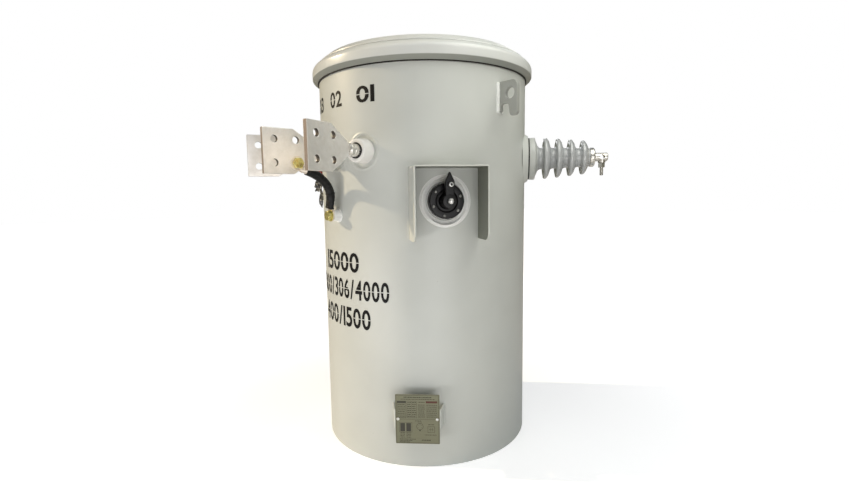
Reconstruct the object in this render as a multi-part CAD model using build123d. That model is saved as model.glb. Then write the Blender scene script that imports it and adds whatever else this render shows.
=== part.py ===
from build123d import *
import math
import os

# A single-phase oil-filled distribution transformer that hangs on a pole, unit mm.
# The tank stands on z = 0 with its axis on Z.  Angles are in degrees round that axis:
# 0 is the front (-Y), where the low-voltage terminals are, and 90 is the right side (+X).
# A "reach" is a distance straight out from the tank's outside, a "drop" one down from its top.

# ---- tank and lid ----
tank_radius = 238.0
tank_wall = 3.0
tank_height = 806.0
bottom_thickness = 5.0
rim_land = 12.0             # width of the flat ring that carries the gasket
rim_thickness = 4.0
gasket_thickness = 3.5
gasket_overhang = 3.0       # the gasket shows past the wall
lid_sheet = 3.0
lid_seat_overhang = 4.5     # the lid's flat seat reaches this far past the wall
lid_rim_overhang = 14.0
lid_flare_height = 8.0      # tapered skirt from the seat out to the rim
lid_rim_height = 15.0
lid_rim_rounding = 2.0
lid_shoulder_height = 7.0
lid_groove_width = 2.0
lid_groove_rise = 37.0      # from the lid's seat up to the groove
lid_crown_inset = 17.0      # from the tank's outside in to the edge of the raised centre
lid_crown_rise = 51.0       # from the lid's seat up to that edge
lid_crown_rounding = 3.0
lid_crown_bulge = 5.5

# ---- core, coils and oil inside ----
core_clearance = 30.0
core_drop = 216.0

# ---- fits ----
seat_gap = 0.2              # between a curved piece and the tank wall that it is welded to
slip_gap = 0.15             # round a stud, screw or neck in its hole
weld_depth = 5.0            # a welded sheet starts this far inside the wall and is cut back to it

# ---- low-voltage bushings and spades ----
lv_side_angle = 19.2
lv_drop = 162.5
lv_recess_depth = 3.5
lv_recess_radius = 30.0
lv_recess_flare = 5.0       # the recess is this much wider at the wall's face
lv_body_length = 27.0
lv_body_radius = 25.5
lv_body_front_radius = 22.5
lv_body_skirt = 3.0
lv_body_rounding = 2.0
lv_neck_radius = 18.0
lv_tail = 22.0
lv_seal_width = 2.3
lv_seal_depth = 5.0
lv_seal_proud = 1.2
stud_radius = 12.7
stud_reach = 43.0
spade_neck_reach = 34.0
spade_slope_reach = 49.0
spade_slope_length = 48.0
spade_pad_length = 62.0
spade_width = 86.4
spade_thickness = 9.0
spade_edge_break = 0.8
spade_hole_radius = 7.15
spade_hole_pitch = 44.45
spade_hole_edge = 22.4      # from the pad's end to its outer holes

# ---- high-voltage bushing ----
hv_angle = 130.0
hv_drop = 170.0
hv_pad_radius = 51.0
hv_pad_flare = 9.0
hv_pad_reach = 7.0
hv_gasket_thickness = 3.0
hv_gasket_radius = 47.0
hv_flange_radius = 48.0
hv_flange_thickness = 13.0
hv_flange_rounding = 2.5
hv_collar_length = 5.5      # the cone from the flange down to the insulator's core
hv_collar_radius = 31.0
hv_neck_radius = 29.0
hv_core_radius = 24.5
hv_core_tip_radius = 20.0
hv_insulator_length = 138.0
hv_tail = 24.0
hv_tail_radius = 26.0
hv_shed_first = 39.6        # from the tank's pad to the first shed's crest
hv_shed_last = 15.3         # from the last shed's crest to the insulator's end
hv_shed_radii = (46.3, 44.0, 41.0, 38.0)
hv_shed_lip = 6.0
hv_shed_back = 4.0          # the underside lies this far behind the crest
hv_shed_fillet = 5.0
hv_shed_front = 9.5
hv_shed_root = 4.0
hv_cap_radius = 21.5
hv_cap_length = 10.5
hv_cap_edge = 2.0
hv_stem_radius = 9.5
hv_stem_length = 29.0
hv_wire_hole_radius = 5.5
hv_wire_hole_from_end = 12.5
hv_boss_radius = 8.0
hv_boss_root_radius = 9.0
hv_boss_drop = 12.5
hv_screw_radius = 4.0
hv_screw_drop = 41.0
hv_screw_nut_width = 12.7
hv_screw_nut_height = 11.0

# ---- lifting lugs ----
lug_thickness = 8.0
lug_reach = 46.5
lug_top_drop = 29.0
lug_height = 68.5
lug_leg_height = 58.0
lug_leg_width = 6.0
lug_notch_height = 43.0     # from the lug's top down to the top of its notch
lug_notch_width = 16.0
lug_hook_width = 18.0
lug_corner = 13.0
lug_notch_round = 6.5
lug_hole_radius = 11.0
lug_hole_reach = 28.5
lug_hole_height = 24.5      # from the lug's top down to its hole

# ---- brackets that hang the tank on its pole ----
hanger_pitch = 285.75
hanger_drop = 116.0
hanger_width = 102.0
hanger_tall = 92.0
hanger_plate = 6.0
hanger_standoff = 52.0
hanger_bend = 9.0
hanger_slot_width = 17.5
hanger_slot_length = 34.0

# ---- tap changer and its hood ----
tap_angle = 59.5
tap_drop = 262.4
tap_outer_recess_radius = 43.0
tap_outer_recess_depth = 5.0
tap_recess_flare = 3.0
tap_inner_recess_radius = 36.5
tap_inner_recess_depth = 7.5
tap_disc_radius = 34.5
tap_disc_reach = 11.5
tap_disc_edge = 2.0
tap_dish_radius = 20.0
tap_dish_depth = 4.0
tap_collar_radius = 14.0
tap_collar_reach = 22.0
tap_shaft_radius = 5.0
tap_screw_count = 6
tap_screw_circle = 28.0
tap_screw_phase = 20.0
tap_screw_radius = 2.9
tap_screw_head = 2.2
tap_neck_radius = 20.0
tap_tail = 18.0
handle_gap = 1.0
handle_hub_radius = 14.0
handle_plate = 10.0
handle_reach = 38.0
handle_width = 18.6
handle_square_length = 37.0
handle_length = 54.5
handle_tip_width = 2.4
shaft_nut_width = 9.5          
shaft_nut_reach = 51.0
shaft_nut_end = 3.0
lock_screw_radius = 2.5
lock_screw_head_radius = 4.6
lock_screw_offset = 30.8
lock_screw_clear = 7.5      # its end stops this far off the disc, so the handle is free
hood_width = 142.0
hood_rise = 66.4
hood_fall = 74.6
hood_reach = 56.0
hood_sheet = 3.0
hood_bend = 4.5
hood_corner = 20.0

# ---- nameplate ----
nameplate_angle = 45.2
nameplate_width = 88.0
nameplate_tall = 102.0
nameplate_height = 115.0
nameplate_thickness = 1.0
nameplate_reach = 27.0
bracket_strip = 40.0
bracket_sheet = 2.0
bracket_front_width = 94.0
bracket_back_width = 105.0
rivet_pitch = 78.0
rivet_head_radius = 3.0
rivet_head_height = 1.6

# ---- tank earth stud and strap ----
earth_drop = 290.0
earth_boss_radius = 12.0
earth_boss_reach = 16.0
earth_boss_rounding = 1.0
earth_lug_thickness = 3.0
earth_lug_width = 24.0
earth_lug_length = 30.0
earth_washer_radius = 12.0
earth_washer_thickness = 2.0
earth_bolt_radius = 6.0
earth_head_width = 19.0
earth_head_height = 8.0
earth_bolt_depth = 12.0
strap_radius = 8.2
strap_sides = (13.0, 12.6, 11.8, 10.2, 8.0)
strap_reaches = (74.0, 59.0, 40.0, 27.0, 22.0)
strap_drops = (37.5, 43.5, 55.0, 69.5, 87.5)   # below the spade's centre line
strap_foot_rise = 15.0
strap_foot_width = 22.0
strap_foot_thickness = 9.6
strap_lug_thickness = 3.0
strap_lug_radius = 12.0
strap_barrel_radius = 6.0
strap_barrel_length = 16.0
strap_nut_height = 9.0
strap_bolt_end = 4.0

# ---- pressure relief valve ----
relief_angle = -49.0
relief_drop = 173.0
relief_boss_radius = 15.0
relief_boss_reach = 4.0
relief_body_radius = 12.0
relief_elbow_reach = 12.0
relief_fall_angle = 60.0
relief_outlet = 15.0
relief_cap_radius = 17.0
relief_cap_height = 14.0
relief_cap_rim = 3.0
relief_cap_edge = 1.0
pull_knot_radius = 8.0
pull_knot_drop = 7.0        # from the cap's tip down to the knot's centre
pull_radius = 3.2
pull_turn = 8.0             # the loops face this many degrees nearer to the front than the valve
pull_long_loop = ((-9, -5), (-27, -15), (-38, -34), (-34, -54), (-23, -68), (-16.5, -50), (-19, -29))
pull_short_loop = ((5, -6), (5.5, -22), (14, -31), (25, -24), (20, -15), (13, -20))


def station(angle, radius, height):
    """A plane on the tank: x runs to the right, y up and z straight out from the tank's axis."""
    turn = math.radians(angle)
    outward = (math.sin(turn), -math.cos(turn), 0)
    right = (math.cos(turn), math.sin(turn), 0)
    origin = (radius * outward[0], radius * outward[1], height)
    return Plane(origin=origin, x_dir=right, z_dir=outward)


def upright(angle):
    """A vertical plane through the tank's axis: x runs outward and y up."""
    turn = math.radians(angle)
    outward = (math.sin(turn), -math.cos(turn), 0)
    return Plane(origin=(0, 0, 0), x_dir=outward, z_dir=(-math.cos(turn), -math.sin(turn), 0))


def turned(points):
    """A solid turned about Z from (radius, height) points."""
    outline = Polyline(*[(r, 0, h) for r, h in points], close=True)
    return revolve(make_face(outline), Axis.Z)


def rod(radius, start, end):
    """A round bar along z from start to end."""
    return Pos(0, 0, start) * extrude(Circle(radius), end - start)


def tapered(start_radius, end_radius, length):
    """A cone along z from the origin."""
    return Cone(start_radius, end_radius, length, align=(Align.CENTER, Align.CENTER, Align.MIN))


def hex_bar(width, start, end):
    """A hexagonal bar along z, width across its flats."""
    corner_radius = width / math.sqrt(3)
    return Pos(0, 0, start) * extrude(RegularPolygon(corner_radius, 6), end - start)


# The tank's outside as a solid, to cut back what is welded to it.
around_tank = rod(tank_radius + seat_gap, -tank_height, 2 * tank_height)
lv_height = tank_height - lv_drop
hv_height = tank_height - hv_drop
tap_height = tank_height - tap_drop
earth_height = tank_height - earth_drop
relief_height = tank_height - relief_drop
lv_angles = {"left": -lv_side_angle, "centre": 0.0, "right": lv_side_angle}

pieces = {}

# ---- tank wall, with its gasket land and the seats pressed into it ----
wall = rod(tank_radius, 0, tank_height) - rod(tank_radius - tank_wall, 0, tank_height)
rim = rod(tank_radius - tank_wall, tank_height - rim_thickness, tank_height)
rim -= rod(tank_radius - rim_land, tank_height - rim_thickness, tank_height)
wall += rim
inside = rod(tank_radius - tank_wall / 2, 0, tank_height)


def press_seat(shell, angle, height, flat_radius, depth, flare, hole_radius):
    """Presses a round flat into the wall, backed by the same sheet, with a hole in it."""
    floor = tank_radius - depth
    back = extrude(Circle(flat_radius + flare + tank_wall), tank_wall + depth)
    back = station(angle, floor - tank_wall, height) * back
    shell += back & inside
    cut = tapered(flat_radius, flat_radius + 2 * flare, 2 * depth)
    shell -= station(angle, floor, height) * cut
    shell -= station(angle, floor, height) * rod(hole_radius, -3 * tank_wall - depth, depth)
    return shell


lv_hole = lv_neck_radius + slip_gap
for angle in lv_angles.values():
    wall = press_seat(wall, angle, lv_height, lv_recess_radius, lv_recess_depth, lv_recess_flare, lv_hole)
tap_hole = tap_neck_radius + slip_gap
tap_flat = tap_inner_recess_radius
wall = press_seat(wall, tap_angle, tap_height, tap_flat, tap_inner_recess_depth, tap_recess_flare, tap_hole)
outer_flat = tapered(
    tap_outer_recess_radius, tap_outer_recess_radius + 2 * tap_recess_flare, 2 * tap_outer_recess_depth
)
outer_place = station(tap_angle, tank_radius - tap_outer_recess_depth, tap_height)
outer_back = rod(tap_outer_recess_radius + tap_recess_flare + tank_wall, -tank_wall, 0)
inner_cut = tapered(tap_flat, tap_flat + tap_recess_flare, tap_inner_recess_depth)
outer_back -= Pos(0, 0, tap_outer_recess_depth - tap_inner_recess_depth) * inner_cut
outer_back -= rod(tap_flat, -tank_wall, 0)
wall += (outer_place * outer_back) & inside
wall -= outer_place * outer_flat

hv_pad_back = tank_radius - 2 * tank_wall
hv_pad_length = hv_pad_reach + 2 * tank_wall
hv_pad = tapered(hv_pad_radius + hv_pad_flare, hv_pad_radius, hv_pad_length)
hv_pad = station(hv_angle, hv_pad_back, hv_height) * hv_pad
wall += hv_pad - rod(tank_radius - tank_wall, 0, tank_height)
hv_hole = rod(hv_neck_radius + slip_gap, -2 * hv_pad_length, hv_pad_length)
hv_pad_front = tank_radius + hv_pad_reach
wall -= station(hv_angle, hv_pad_front, hv_height) * hv_hole
pieces["tank_wall"] = wall

pieces["tank_bottom"] = rod(tank_radius - tank_wall, 0, bottom_thickness)
core_radius = tank_radius - tank_wall - core_clearance
pieces["core_coil_and_oil"] = rod(core_radius, bottom_thickness, tank_height - core_drop)

# ---- lid and its gasket ----
lid_seat = tank_height + gasket_thickness
land_radius = tank_radius - rim_land
gasket_radius = tank_radius + gasket_overhang
pieces["lid_gasket"] = rod(gasket_radius, tank_height, lid_seat) - rod(land_radius, tank_height, lid_seat)

rim_radius = tank_radius + lid_rim_overhang
rim_bottom = lid_seat + lid_flare_height
rim_top = rim_bottom + lid_rim_height
shoulder_radius = rim_radius - lid_shoulder_height / 2
shoulder_top = rim_top + lid_shoulder_height
groove_z = lid_seat + lid_groove_rise
groove_inner = tank_radius - lid_groove_width
crown_z = lid_seat + lid_crown_rise
crown_radius = tank_radius - lid_crown_inset
half_way = crown_radius * 0.55
half_way_z = crown_z + lid_crown_bulge * 0.75
pieces["lid"] = turned(
    [
        (land_radius, lid_seat),
        (tank_radius + lid_seat_overhang, lid_seat),
        (rim_radius - lid_rim_rounding / 2, rim_bottom),
        (rim_radius, rim_bottom + lid_rim_rounding),
        (rim_radius, rim_top),
        (shoulder_radius, shoulder_top),
        (tank_radius, groove_z - lid_groove_width / 2),
        (groove_inner, groove_z),
        (crown_radius + lid_crown_rounding, crown_z - lid_crown_rounding),
        (crown_radius, crown_z),
        (half_way, half_way_z),
        (0, crown_z + lid_crown_bulge),
        (0, crown_z + lid_crown_bulge - lid_sheet),
        (half_way, half_way_z - lid_sheet),
        (crown_radius - lid_sheet, crown_z - lid_sheet),
        (groove_inner - lid_sheet, groove_z - lid_sheet),
        (tank_radius - lid_sheet, rim_top - lid_sheet),
        (tank_radius - lid_sheet, lid_seat + lid_sheet),
        (land_radius, lid_seat + lid_sheet),
    ]
)


# ---- low-voltage bushings, seals and spades ----
def lv_bushing():
    """Porcelain body, from the floor of its seat outward, with a neck through the wall."""
    front = lv_body_length
    outline = [(0, 0), (lv_body_radius, 0), (lv_body_radius, lv_body_skirt)]
    outline += [(lv_body_front_radius, front), (0, front)]
    body = turned(outline)
    body = fillet(body.edges().group_by(Axis.Z)[-1], lv_body_rounding)
    body += rod(lv_neck_radius, -lv_tail, 0)
    body -= rod(stud_radius + slip_gap, -lv_tail, front)
    return body - rod(stud_radius + lv_seal_width + 2 * slip_gap, front - lv_seal_depth, front)


def lv_seal():
    """Rubber ring in the mouth of the bushing, round the stud."""
    start = lv_body_length - lv_seal_depth
    end = lv_body_length + lv_seal_proud
    inner = stud_radius + slip_gap
    return rod(inner + lv_seal_width, start, end) - rod(inner, start, end)


slope_start = tank_radius + spade_slope_reach
pad_start = slope_start + spade_slope_length
spade_end = pad_start + spade_pad_length
outer_holes = spade_end - spade_hole_edge
inner_holes = outer_holes - spade_hole_pitch


def lv_spade():
    """Stud and four-hole pad in one piece; x runs outward from the tank's axis and y up."""
    half = spade_width / 2
    neck = stud_radius - spade_edge_break
    neck_start = tank_radius + spade_neck_reach
    lower = [(neck_start, -neck), (slope_start, -neck), (pad_start, -half), (spade_end, -half)]
    upper = [(x, -y) for x, y in reversed(lower)]
    pad = extrude(make_face(Polyline(*lower, *upper, close=True)), spade_thickness / 2, both=True)
    flat_faces = pad.faces().filter_by(Axis.Z)
    pad = chamfer(flat_faces.edges(), spade_edge_break)
    for reach in (outer_holes, inner_holes):
        for rise in (-spade_hole_pitch / 2, spade_hole_pitch / 2):
            pad -= Pos(reach, rise, 0) * rod(spade_hole_radius, -spade_thickness, spade_thickness)
    stud = rod(stud_radius, tank_radius - lv_recess_depth - lv_tail, tank_radius + stud_reach)
    stud = chamfer(stud.edges().group_by(Axis.Z)[-1], 2 * spade_edge_break)
    return pad + Plane.YZ * stud


for side, angle in lv_angles.items():
    place = station(angle, tank_radius - lv_recess_depth, lv_height)
    pieces[f"lv_bushing_{side}"] = place * lv_bushing()
    pieces[f"lv_seal_{side}"] = place * lv_seal()
    pieces[f"lv_spade_{side}"] = Pos(0, 0, lv_height) * (upright(angle) * lv_spade())

# ---- high-voltage bushing, measured from the face of its pad on the tank ----
hv_place = station(hv_angle, hv_pad_front, hv_height)
flange_front = hv_gasket_thickness + hv_flange_thickness
collar_front = flange_front + hv_collar_length


def core_at(z):
    """Radius of the insulator's core at this distance from the pad."""
    share = (z - collar_front) / (hv_insulator_length - collar_front)
    return hv_core_radius + (hv_core_tip_radius - hv_core_radius) * share


insulator = [(0, -hv_tail), (hv_tail_radius, -hv_tail), (hv_neck_radius, 0), (hv_neck_radius, collar_front)]
insulator.append((core_at(collar_front), collar_front))
shed_pitch = (hv_insulator_length - hv_shed_first - hv_shed_last) / (len(hv_shed_radii) - 1)
for number, shed_radius in enumerate(hv_shed_radii):
    crest = hv_shed_first + number * shed_pitch
    back = crest - hv_shed_back
    front = crest + hv_shed_front
    insulator += [
        (core_at(back - hv_shed_fillet), back - hv_shed_fillet),
        (core_at(back) + hv_shed_root / 2, back - hv_shed_root / 4),
        (shed_radius - hv_shed_lip, back),
        (shed_radius - hv_shed_lip / 4, back + hv_shed_root / 8),
        (shed_radius, crest - hv_shed_root / 3),
        (shed_radius, crest + hv_shed_root / 4),
        (shed_radius - hv_shed_lip / 3, crest + hv_shed_root * 0.9),
        (shed_radius - hv_shed_lip * 1.4, front - hv_shed_root / 2),
        (core_at(front) + hv_shed_root, front),
        (core_at(front + hv_shed_root), front + hv_shed_root),
    ]
insulator += [(hv_core_tip_radius, hv_insulator_length), (0, hv_insulator_length)]
pieces["hv_insulator"] = hv_place * turned(insulator)

hv_bore = hv_neck_radius + slip_gap
hv_gasket = rod(hv_gasket_radius, 0, hv_gasket_thickness) - rod(hv_bore, 0, hv_gasket_thickness)
pieces["hv_gasket"] = hv_place * hv_gasket
hv_flange = rod(hv_flange_radius, hv_gasket_thickness, flange_front)
hv_flange = fillet(hv_flange.edges().group_by(Axis.Z)[-1], hv_flange_rounding)
collar_foot = hv_flange_radius - 2 * hv_flange_rounding
hv_flange += Pos(0, 0, flange_front) * tapered(collar_foot, hv_collar_radius, hv_collar_length)
hv_flange -= rod(hv_bore, hv_gasket_thickness, collar_front)
pieces["hv_flange"] = hv_place * hv_flange

cap_end = hv_insulator_length + hv_cap_length
hv_cap = rod(hv_cap_radius, hv_insulator_length, cap_end)
pieces["hv_cap"] = hv_place * chamfer(hv_cap.edges().group_by(Axis.Z)[-1], hv_cap_edge)

stem_end = cap_end + hv_stem_length
across = Pos(0, 0, stem_end - hv_wire_hole_from_end)
hv_stem = rod(hv_stem_radius, cap_end, stem_end)
hv_stem = chamfer(hv_stem.edges().group_by(Axis.Z)[-1], hv_cap_edge)
hv_stem += across * (Plane.XZ * tapered(hv_boss_root_radius, hv_boss_radius, hv_boss_drop))
hv_stem -= across * (Plane.YZ * rod(hv_wire_hole_radius, -2 * hv_stem_radius, 2 * hv_stem_radius))
hv_stem -= across * (Plane.XZ * rod(hv_screw_radius + slip_gap, 0, hv_boss_drop))
pieces["hv_terminal"] = hv_place * hv_stem
nut_top = hv_boss_drop
clamp_screw = rod(hv_screw_radius, hv_wire_hole_radius + slip_gap, hv_screw_drop)
clamp_screw += hex_bar(hv_screw_nut_width, nut_top, nut_top + hv_screw_nut_height)
pieces["hv_clamp_screw"] = hv_place * (across * (Plane.XZ * clamp_screw))


# ---- lifting lugs ----
def lifting_lug():
    """Hooked plate with a hole, in the upright plane: x outward and y up from the lug's top."""
    inner = tank_radius - tank_wall
    outer = tank_radius + lug_reach
    leg_outer = tank_radius + lug_leg_width
    hook_inner = outer - lug_hook_width
    notch_inner = hook_inner - lug_notch_width / 4
    outline = Polyline(
        (inner, -lug_leg_height),
        (leg_outer, -lug_leg_height),
        (leg_outer, -lug_notch_height),
        (notch_inner, -lug_notch_height),
        (hook_inner, -lug_height),
        (outer, -lug_height),
        (outer, 0),
        (inner, 0),
        close=True,
    )
    plate = make_face(outline)
    rounded = [
        ((outer, 0), lug_corner),
        ((outer, -lug_height), lug_hook_width * 0.45),
        ((hook_inner, -lug_height), lug_hook_width * 0.4),
        ((leg_outer, -lug_notch_height), lug_notch_round * 0.8),
        ((notch_inner, -lug_notch_height), lug_notch_round),
    ]
    for corner, rounding in rounded:
        plate = fillet(plate.vertices().sort_by_distance(corner)[0:1], rounding)
    plate -= Pos(tank_radius + lug_hole_reach, -lug_hole_height) * Circle(lug_hole_radius)
    return extrude(plate, lug_thickness / 2, both=True)


for side, angle in (("left", -90), ("right", 90)):
    raised = Pos(0, 0, tank_height - lug_top_drop)
    pieces[f"lifting_lug_{side}"] = raised * (upright(angle) * lifting_lug()) - around_tank


# ---- hanger brackets at the back ----
def hanger_bracket():
    """Channel bent from plate, open towards the tank, with a bolt slot in its face."""
    outer = Rectangle(hanger_width, 2 * hanger_standoff)
    outer = fillet(outer.vertices().group_by(Axis.Y)[-1], hanger_bend)
    inner = Rectangle(hanger_width - 2 * hanger_plate, 2 * (hanger_standoff - hanger_plate))
    inner = fillet(inner.vertices().group_by(Axis.Y)[-1], hanger_bend - hanger_plate)
    channel = Pos(0, tank_radius, -hanger_tall / 2) * extrude(outer - inner, hanger_tall)
    slot = SlotOverall(hanger_slot_length, hanger_slot_width, rotation=90)
    slot = extrude(slot, 3 * hanger_plate, both=True)
    channel -= Pos(0, tank_radius + hanger_standoff, 0) * (Plane.XZ * slot)
    return channel - rod(tank_radius + seat_gap, -hanger_tall, hanger_tall)


upper_hanger = tank_height - hanger_drop
for name, height in (("upper", upper_hanger), ("lower", upper_hanger - hanger_pitch)):
    pieces[f"hanger_bracket_{name}"] = Pos(0, 0, height) * hanger_bracket()

# ---- tap changer hood ----
hood_tall = hood_rise + hood_fall
hood_outer = Pos(0, hood_rise - hood_tall / 2) * Rectangle(hood_width, hood_tall)
hood_outer = fillet(hood_outer.vertices().group_by(Axis.Y)[-1], hood_bend)
hood_inner = Rectangle(hood_width - 2 * hood_sheet, 2 * (hood_tall - hood_sheet))
hood_inner = fillet(hood_inner.vertices().group_by(Axis.Y)[-1], hood_bend - hood_sheet)
hood_inner = Pos(0, -hood_fall) * hood_inner
hood_back = math.sqrt(tank_radius**2 - hood_width**2 / 4) - weld_depth
hood = Pos(0, 0, hood_back) * extrude(hood_outer - hood_inner, tank_radius + hood_reach - hood_back)
front_corners = hood.edges().filter_by(Axis.X).group_by(Axis.Y)[0].group_by(Axis.Z)[-1]
hood = fillet(front_corners, hood_corner)
pieces["tap_hood"] = station(tap_angle, 0, tap_height) * hood - around_tank

# ---- tap changer, measured from the tank's outside ----
tap_place = station(tap_angle, tank_radius, tap_height)
tap_floor = -tap_inner_recess_depth
tap_start = tap_floor - tap_tail
tap_bore = tap_shaft_radius + slip_gap
dish_floor = tap_disc_reach - tap_dish_depth
tap_disc = turned(
    [
        (tap_bore, tap_start),
        (tap_neck_radius, tap_start),
        (tap_neck_radius, tap_floor),
        (tap_disc_radius, tap_floor),
        (tap_disc_radius, tap_disc_reach - tap_disc_edge),
        (tap_disc_radius - tap_disc_edge, tap_disc_reach),
        (tap_dish_radius + tap_disc_edge, tap_disc_reach),
        (tap_dish_radius, dish_floor),
        (tap_collar_radius + tap_disc_edge, dish_floor),
        (tap_collar_radius, tap_disc_reach),
        (tap_collar_radius, tap_collar_reach),
        (tap_bore, tap_collar_reach),
    ]
)
pieces["tap_disc"] = tap_place * tap_disc
screws = []
for number in range(tap_screw_count):
    turn = Rot(0, 0, tap_screw_phase + number * 360 / tap_screw_count)
    head = rod(tap_screw_radius, tap_disc_reach, tap_disc_reach + tap_screw_head)
    head = fillet(head.edges().group_by(Axis.Z)[-1], tap_screw_head * 0.6)
    screws.append(turn * (Pos(tap_screw_circle, 0, 0) * head))
pieces["tap_screws"] = tap_place * Compound(children=screws)

hub_start = tap_collar_reach + handle_gap
handle_back = handle_reach - handle_plate
hub = rod(handle_hub_radius, hub_start, handle_reach)
hub = fillet(hub.edges().group_by(Axis.Z)[-1], handle_plate * 0.15)
arm_half = [(handle_width / 2, 0), (handle_width / 2, handle_square_length)]
arm_half.append((handle_tip_width / 2, handle_length))
arm_outline = arm_half + [(-x, y) for x, y in reversed(arm_half)]
arm = Pos(0, 0, handle_back) * extrude(make_face(Polyline(*arm_outline, close=True)), handle_plate)
handle = hub + arm
handle -= rod(tap_bore, hub_start, handle_reach)
handle -= Pos(0, lock_screw_offset, 0) * rod(lock_screw_radius + slip_gap, handle_back, handle_reach)
pieces["tap_handle"] = tap_place * handle
shaft = rod(tap_shaft_radius, tap_start, shaft_nut_reach)
shaft += hex_bar(shaft_nut_width, handle_reach, shaft_nut_reach - shaft_nut_end)
pieces["tap_shaft"] = tap_place * shaft
lock_screw = rod(lock_screw_radius, tap_disc_reach + lock_screw_clear, handle_reach)
lock_head = rod(lock_screw_head_radius, handle_reach, shaft_nut_reach)
lock_screw += chamfer(lock_head.edges().group_by(Axis.Z)[-1], lock_screw_radius * 0.4)
pieces["tap_lock_screw"] = tap_place * (Pos(0, lock_screw_offset, 0) * lock_screw)


# ---- nameplate on its strip bracket ----
def strip_bracket():
    """Strip bent into a flared U, open towards the tank; x right and y towards the tank's axis."""
    front = -(tank_radius + nameplate_reach - nameplate_thickness)
    back = front + nameplate_reach + weld_depth + bracket_back_width / 10
    lean = math.atan2((bracket_back_width - bracket_front_width) / 2, back - front)
    wide = bracket_sheet / math.cos(lean)
    corner = bracket_sheet * math.tan((math.pi / 2 - lean) / 2)
    outer = [(bracket_front_width / 2, front), (bracket_back_width / 2, back)]
    inner = [(bracket_back_width / 2 - wide, back), (bracket_front_width / 2 - corner, front + bracket_sheet)]
    right = outer + inner
    left = [(-x, y) for x, y in reversed(right)]
    return extrude(make_face(Polyline(*right, *left, close=True)), bracket_strip)


turn = math.radians(nameplate_angle)
lying = Plane(
    origin=(0, 0, nameplate_height - bracket_strip / 2),
    x_dir=(math.cos(turn), math.sin(turn), 0),
    z_dir=(0, 0, 1),
)
pieces["nameplate_bracket"] = lying * strip_bracket() - around_tank
plate_place = station(nameplate_angle, tank_radius + nameplate_reach, nameplate_height)
plate = extrude(Rectangle(nameplate_width, nameplate_tall), nameplate_thickness)
pieces["nameplate"] = plate_place * (Pos(0, 0, -nameplate_thickness) * plate)
rivets = []
for offset in (-rivet_pitch / 2, rivet_pitch / 2):
    head = rod(rivet_head_radius, 0, rivet_head_height)
    head = fillet(head.edges().group_by(Axis.Z)[-1], rivet_head_height * 0.7)
    rivets.append(Pos(offset, 0, 0) * head)
pieces["nameplate_rivets"] = plate_place * Compound(children=rivets)

# ---- earth boss, bolt and lug on the tank ----
earth_place = station(0, tank_radius, earth_height)
boss = rod(earth_boss_radius, -tank_wall, earth_boss_reach)
boss = fillet(boss.edges().group_by(Axis.Z)[-1], earth_boss_rounding)
boss = earth_place * boss - around_tank
earth_bolt_start = earth_boss_reach - earth_bolt_depth
boss -= earth_place * rod(earth_bolt_radius + slip_gap, earth_bolt_start, earth_boss_reach)
pieces["earth_boss"] = boss
lug_front = earth_boss_reach + earth_lug_thickness
foot = Pos(0, earth_lug_length / 2) * Rectangle(earth_lug_width, earth_lug_length)
foot += Circle(earth_lug_width / 2)
foot -= Circle(earth_bolt_radius + slip_gap)
earth_lug = earth_place * (Pos(0, 0, earth_boss_reach) * extrude(foot, earth_lug_thickness))
pieces["earth_lug"] = earth_lug
washer_front = lug_front + earth_washer_thickness
earth_bolt = rod(earth_washer_radius, lug_front, washer_front)
earth_bolt += hex_bar(earth_head_width, washer_front, washer_front + earth_head_height)
earth_bolt += rod(earth_bolt_radius, earth_bolt_start, lug_front)
pieces["earth_bolt"] = earth_place * earth_bolt

# ---- lug and bolt on the centre spade ----
strap_hole = Vector(0, -inner_holes, lv_height - spade_hole_pitch / 2)
spade_side = Plane(origin=strap_hole, x_dir=(0, 1, 0), z_dir=(1, 0, 0))
face_offset = spade_thickness / 2
lug_outside = face_offset + strap_lug_thickness
route = [
    Vector(side, -tank_radius - reach, lv_height - drop)
    for side, reach, drop in zip(strap_sides, strap_reaches, strap_drops)
]
strap_start = Plane(origin=route[0], z_dir=route[1] - route[0])
barrel = strap_start * rod(strap_barrel_radius, 0, strap_barrel_length)
span = Vector(0, route[0].Y - strap_hole.Y, route[0].Z - strap_hole.Z)
tongue_plane = Plane(origin=strap_hole, x_dir=span, z_dir=(1, 0, 0))
tongue = Pos(span.length / 2, 0) * Rectangle(span.length, 2 * strap_barrel_radius)
tongue += Circle(strap_lug_radius)
strap_lug = tongue_plane * (Pos(0, 0, face_offset) * extrude(tongue, strap_lug_thickness))
neck = Pos(span.length - strap_barrel_radius / 2, 0) * Rectangle(strap_barrel_radius, 2 * strap_barrel_radius)
neck_height = route[0].X + strap_barrel_radius / 2 - face_offset
strap_lug += tongue_plane * (Pos(0, 0, face_offset) * extrude(neck, neck_height))
strap_lug += barrel
strap_lug -= spade_side * rod(earth_bolt_radius + slip_gap, face_offset, lug_outside)
pieces["strap_lug"] = strap_lug
bolt = rod(earth_bolt_radius, -face_offset - strap_nut_height - strap_bolt_end, lug_outside)
bolt += hex_bar(earth_head_width, lug_outside, lug_outside + earth_head_height)
washer_end = -face_offset - earth_washer_thickness
bolt += rod(earth_washer_radius, washer_end, -face_offset)
bolt += hex_bar(earth_head_width, washer_end - strap_nut_height, washer_end)
pieces["strap_bolt"] = spade_side * bolt

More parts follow.
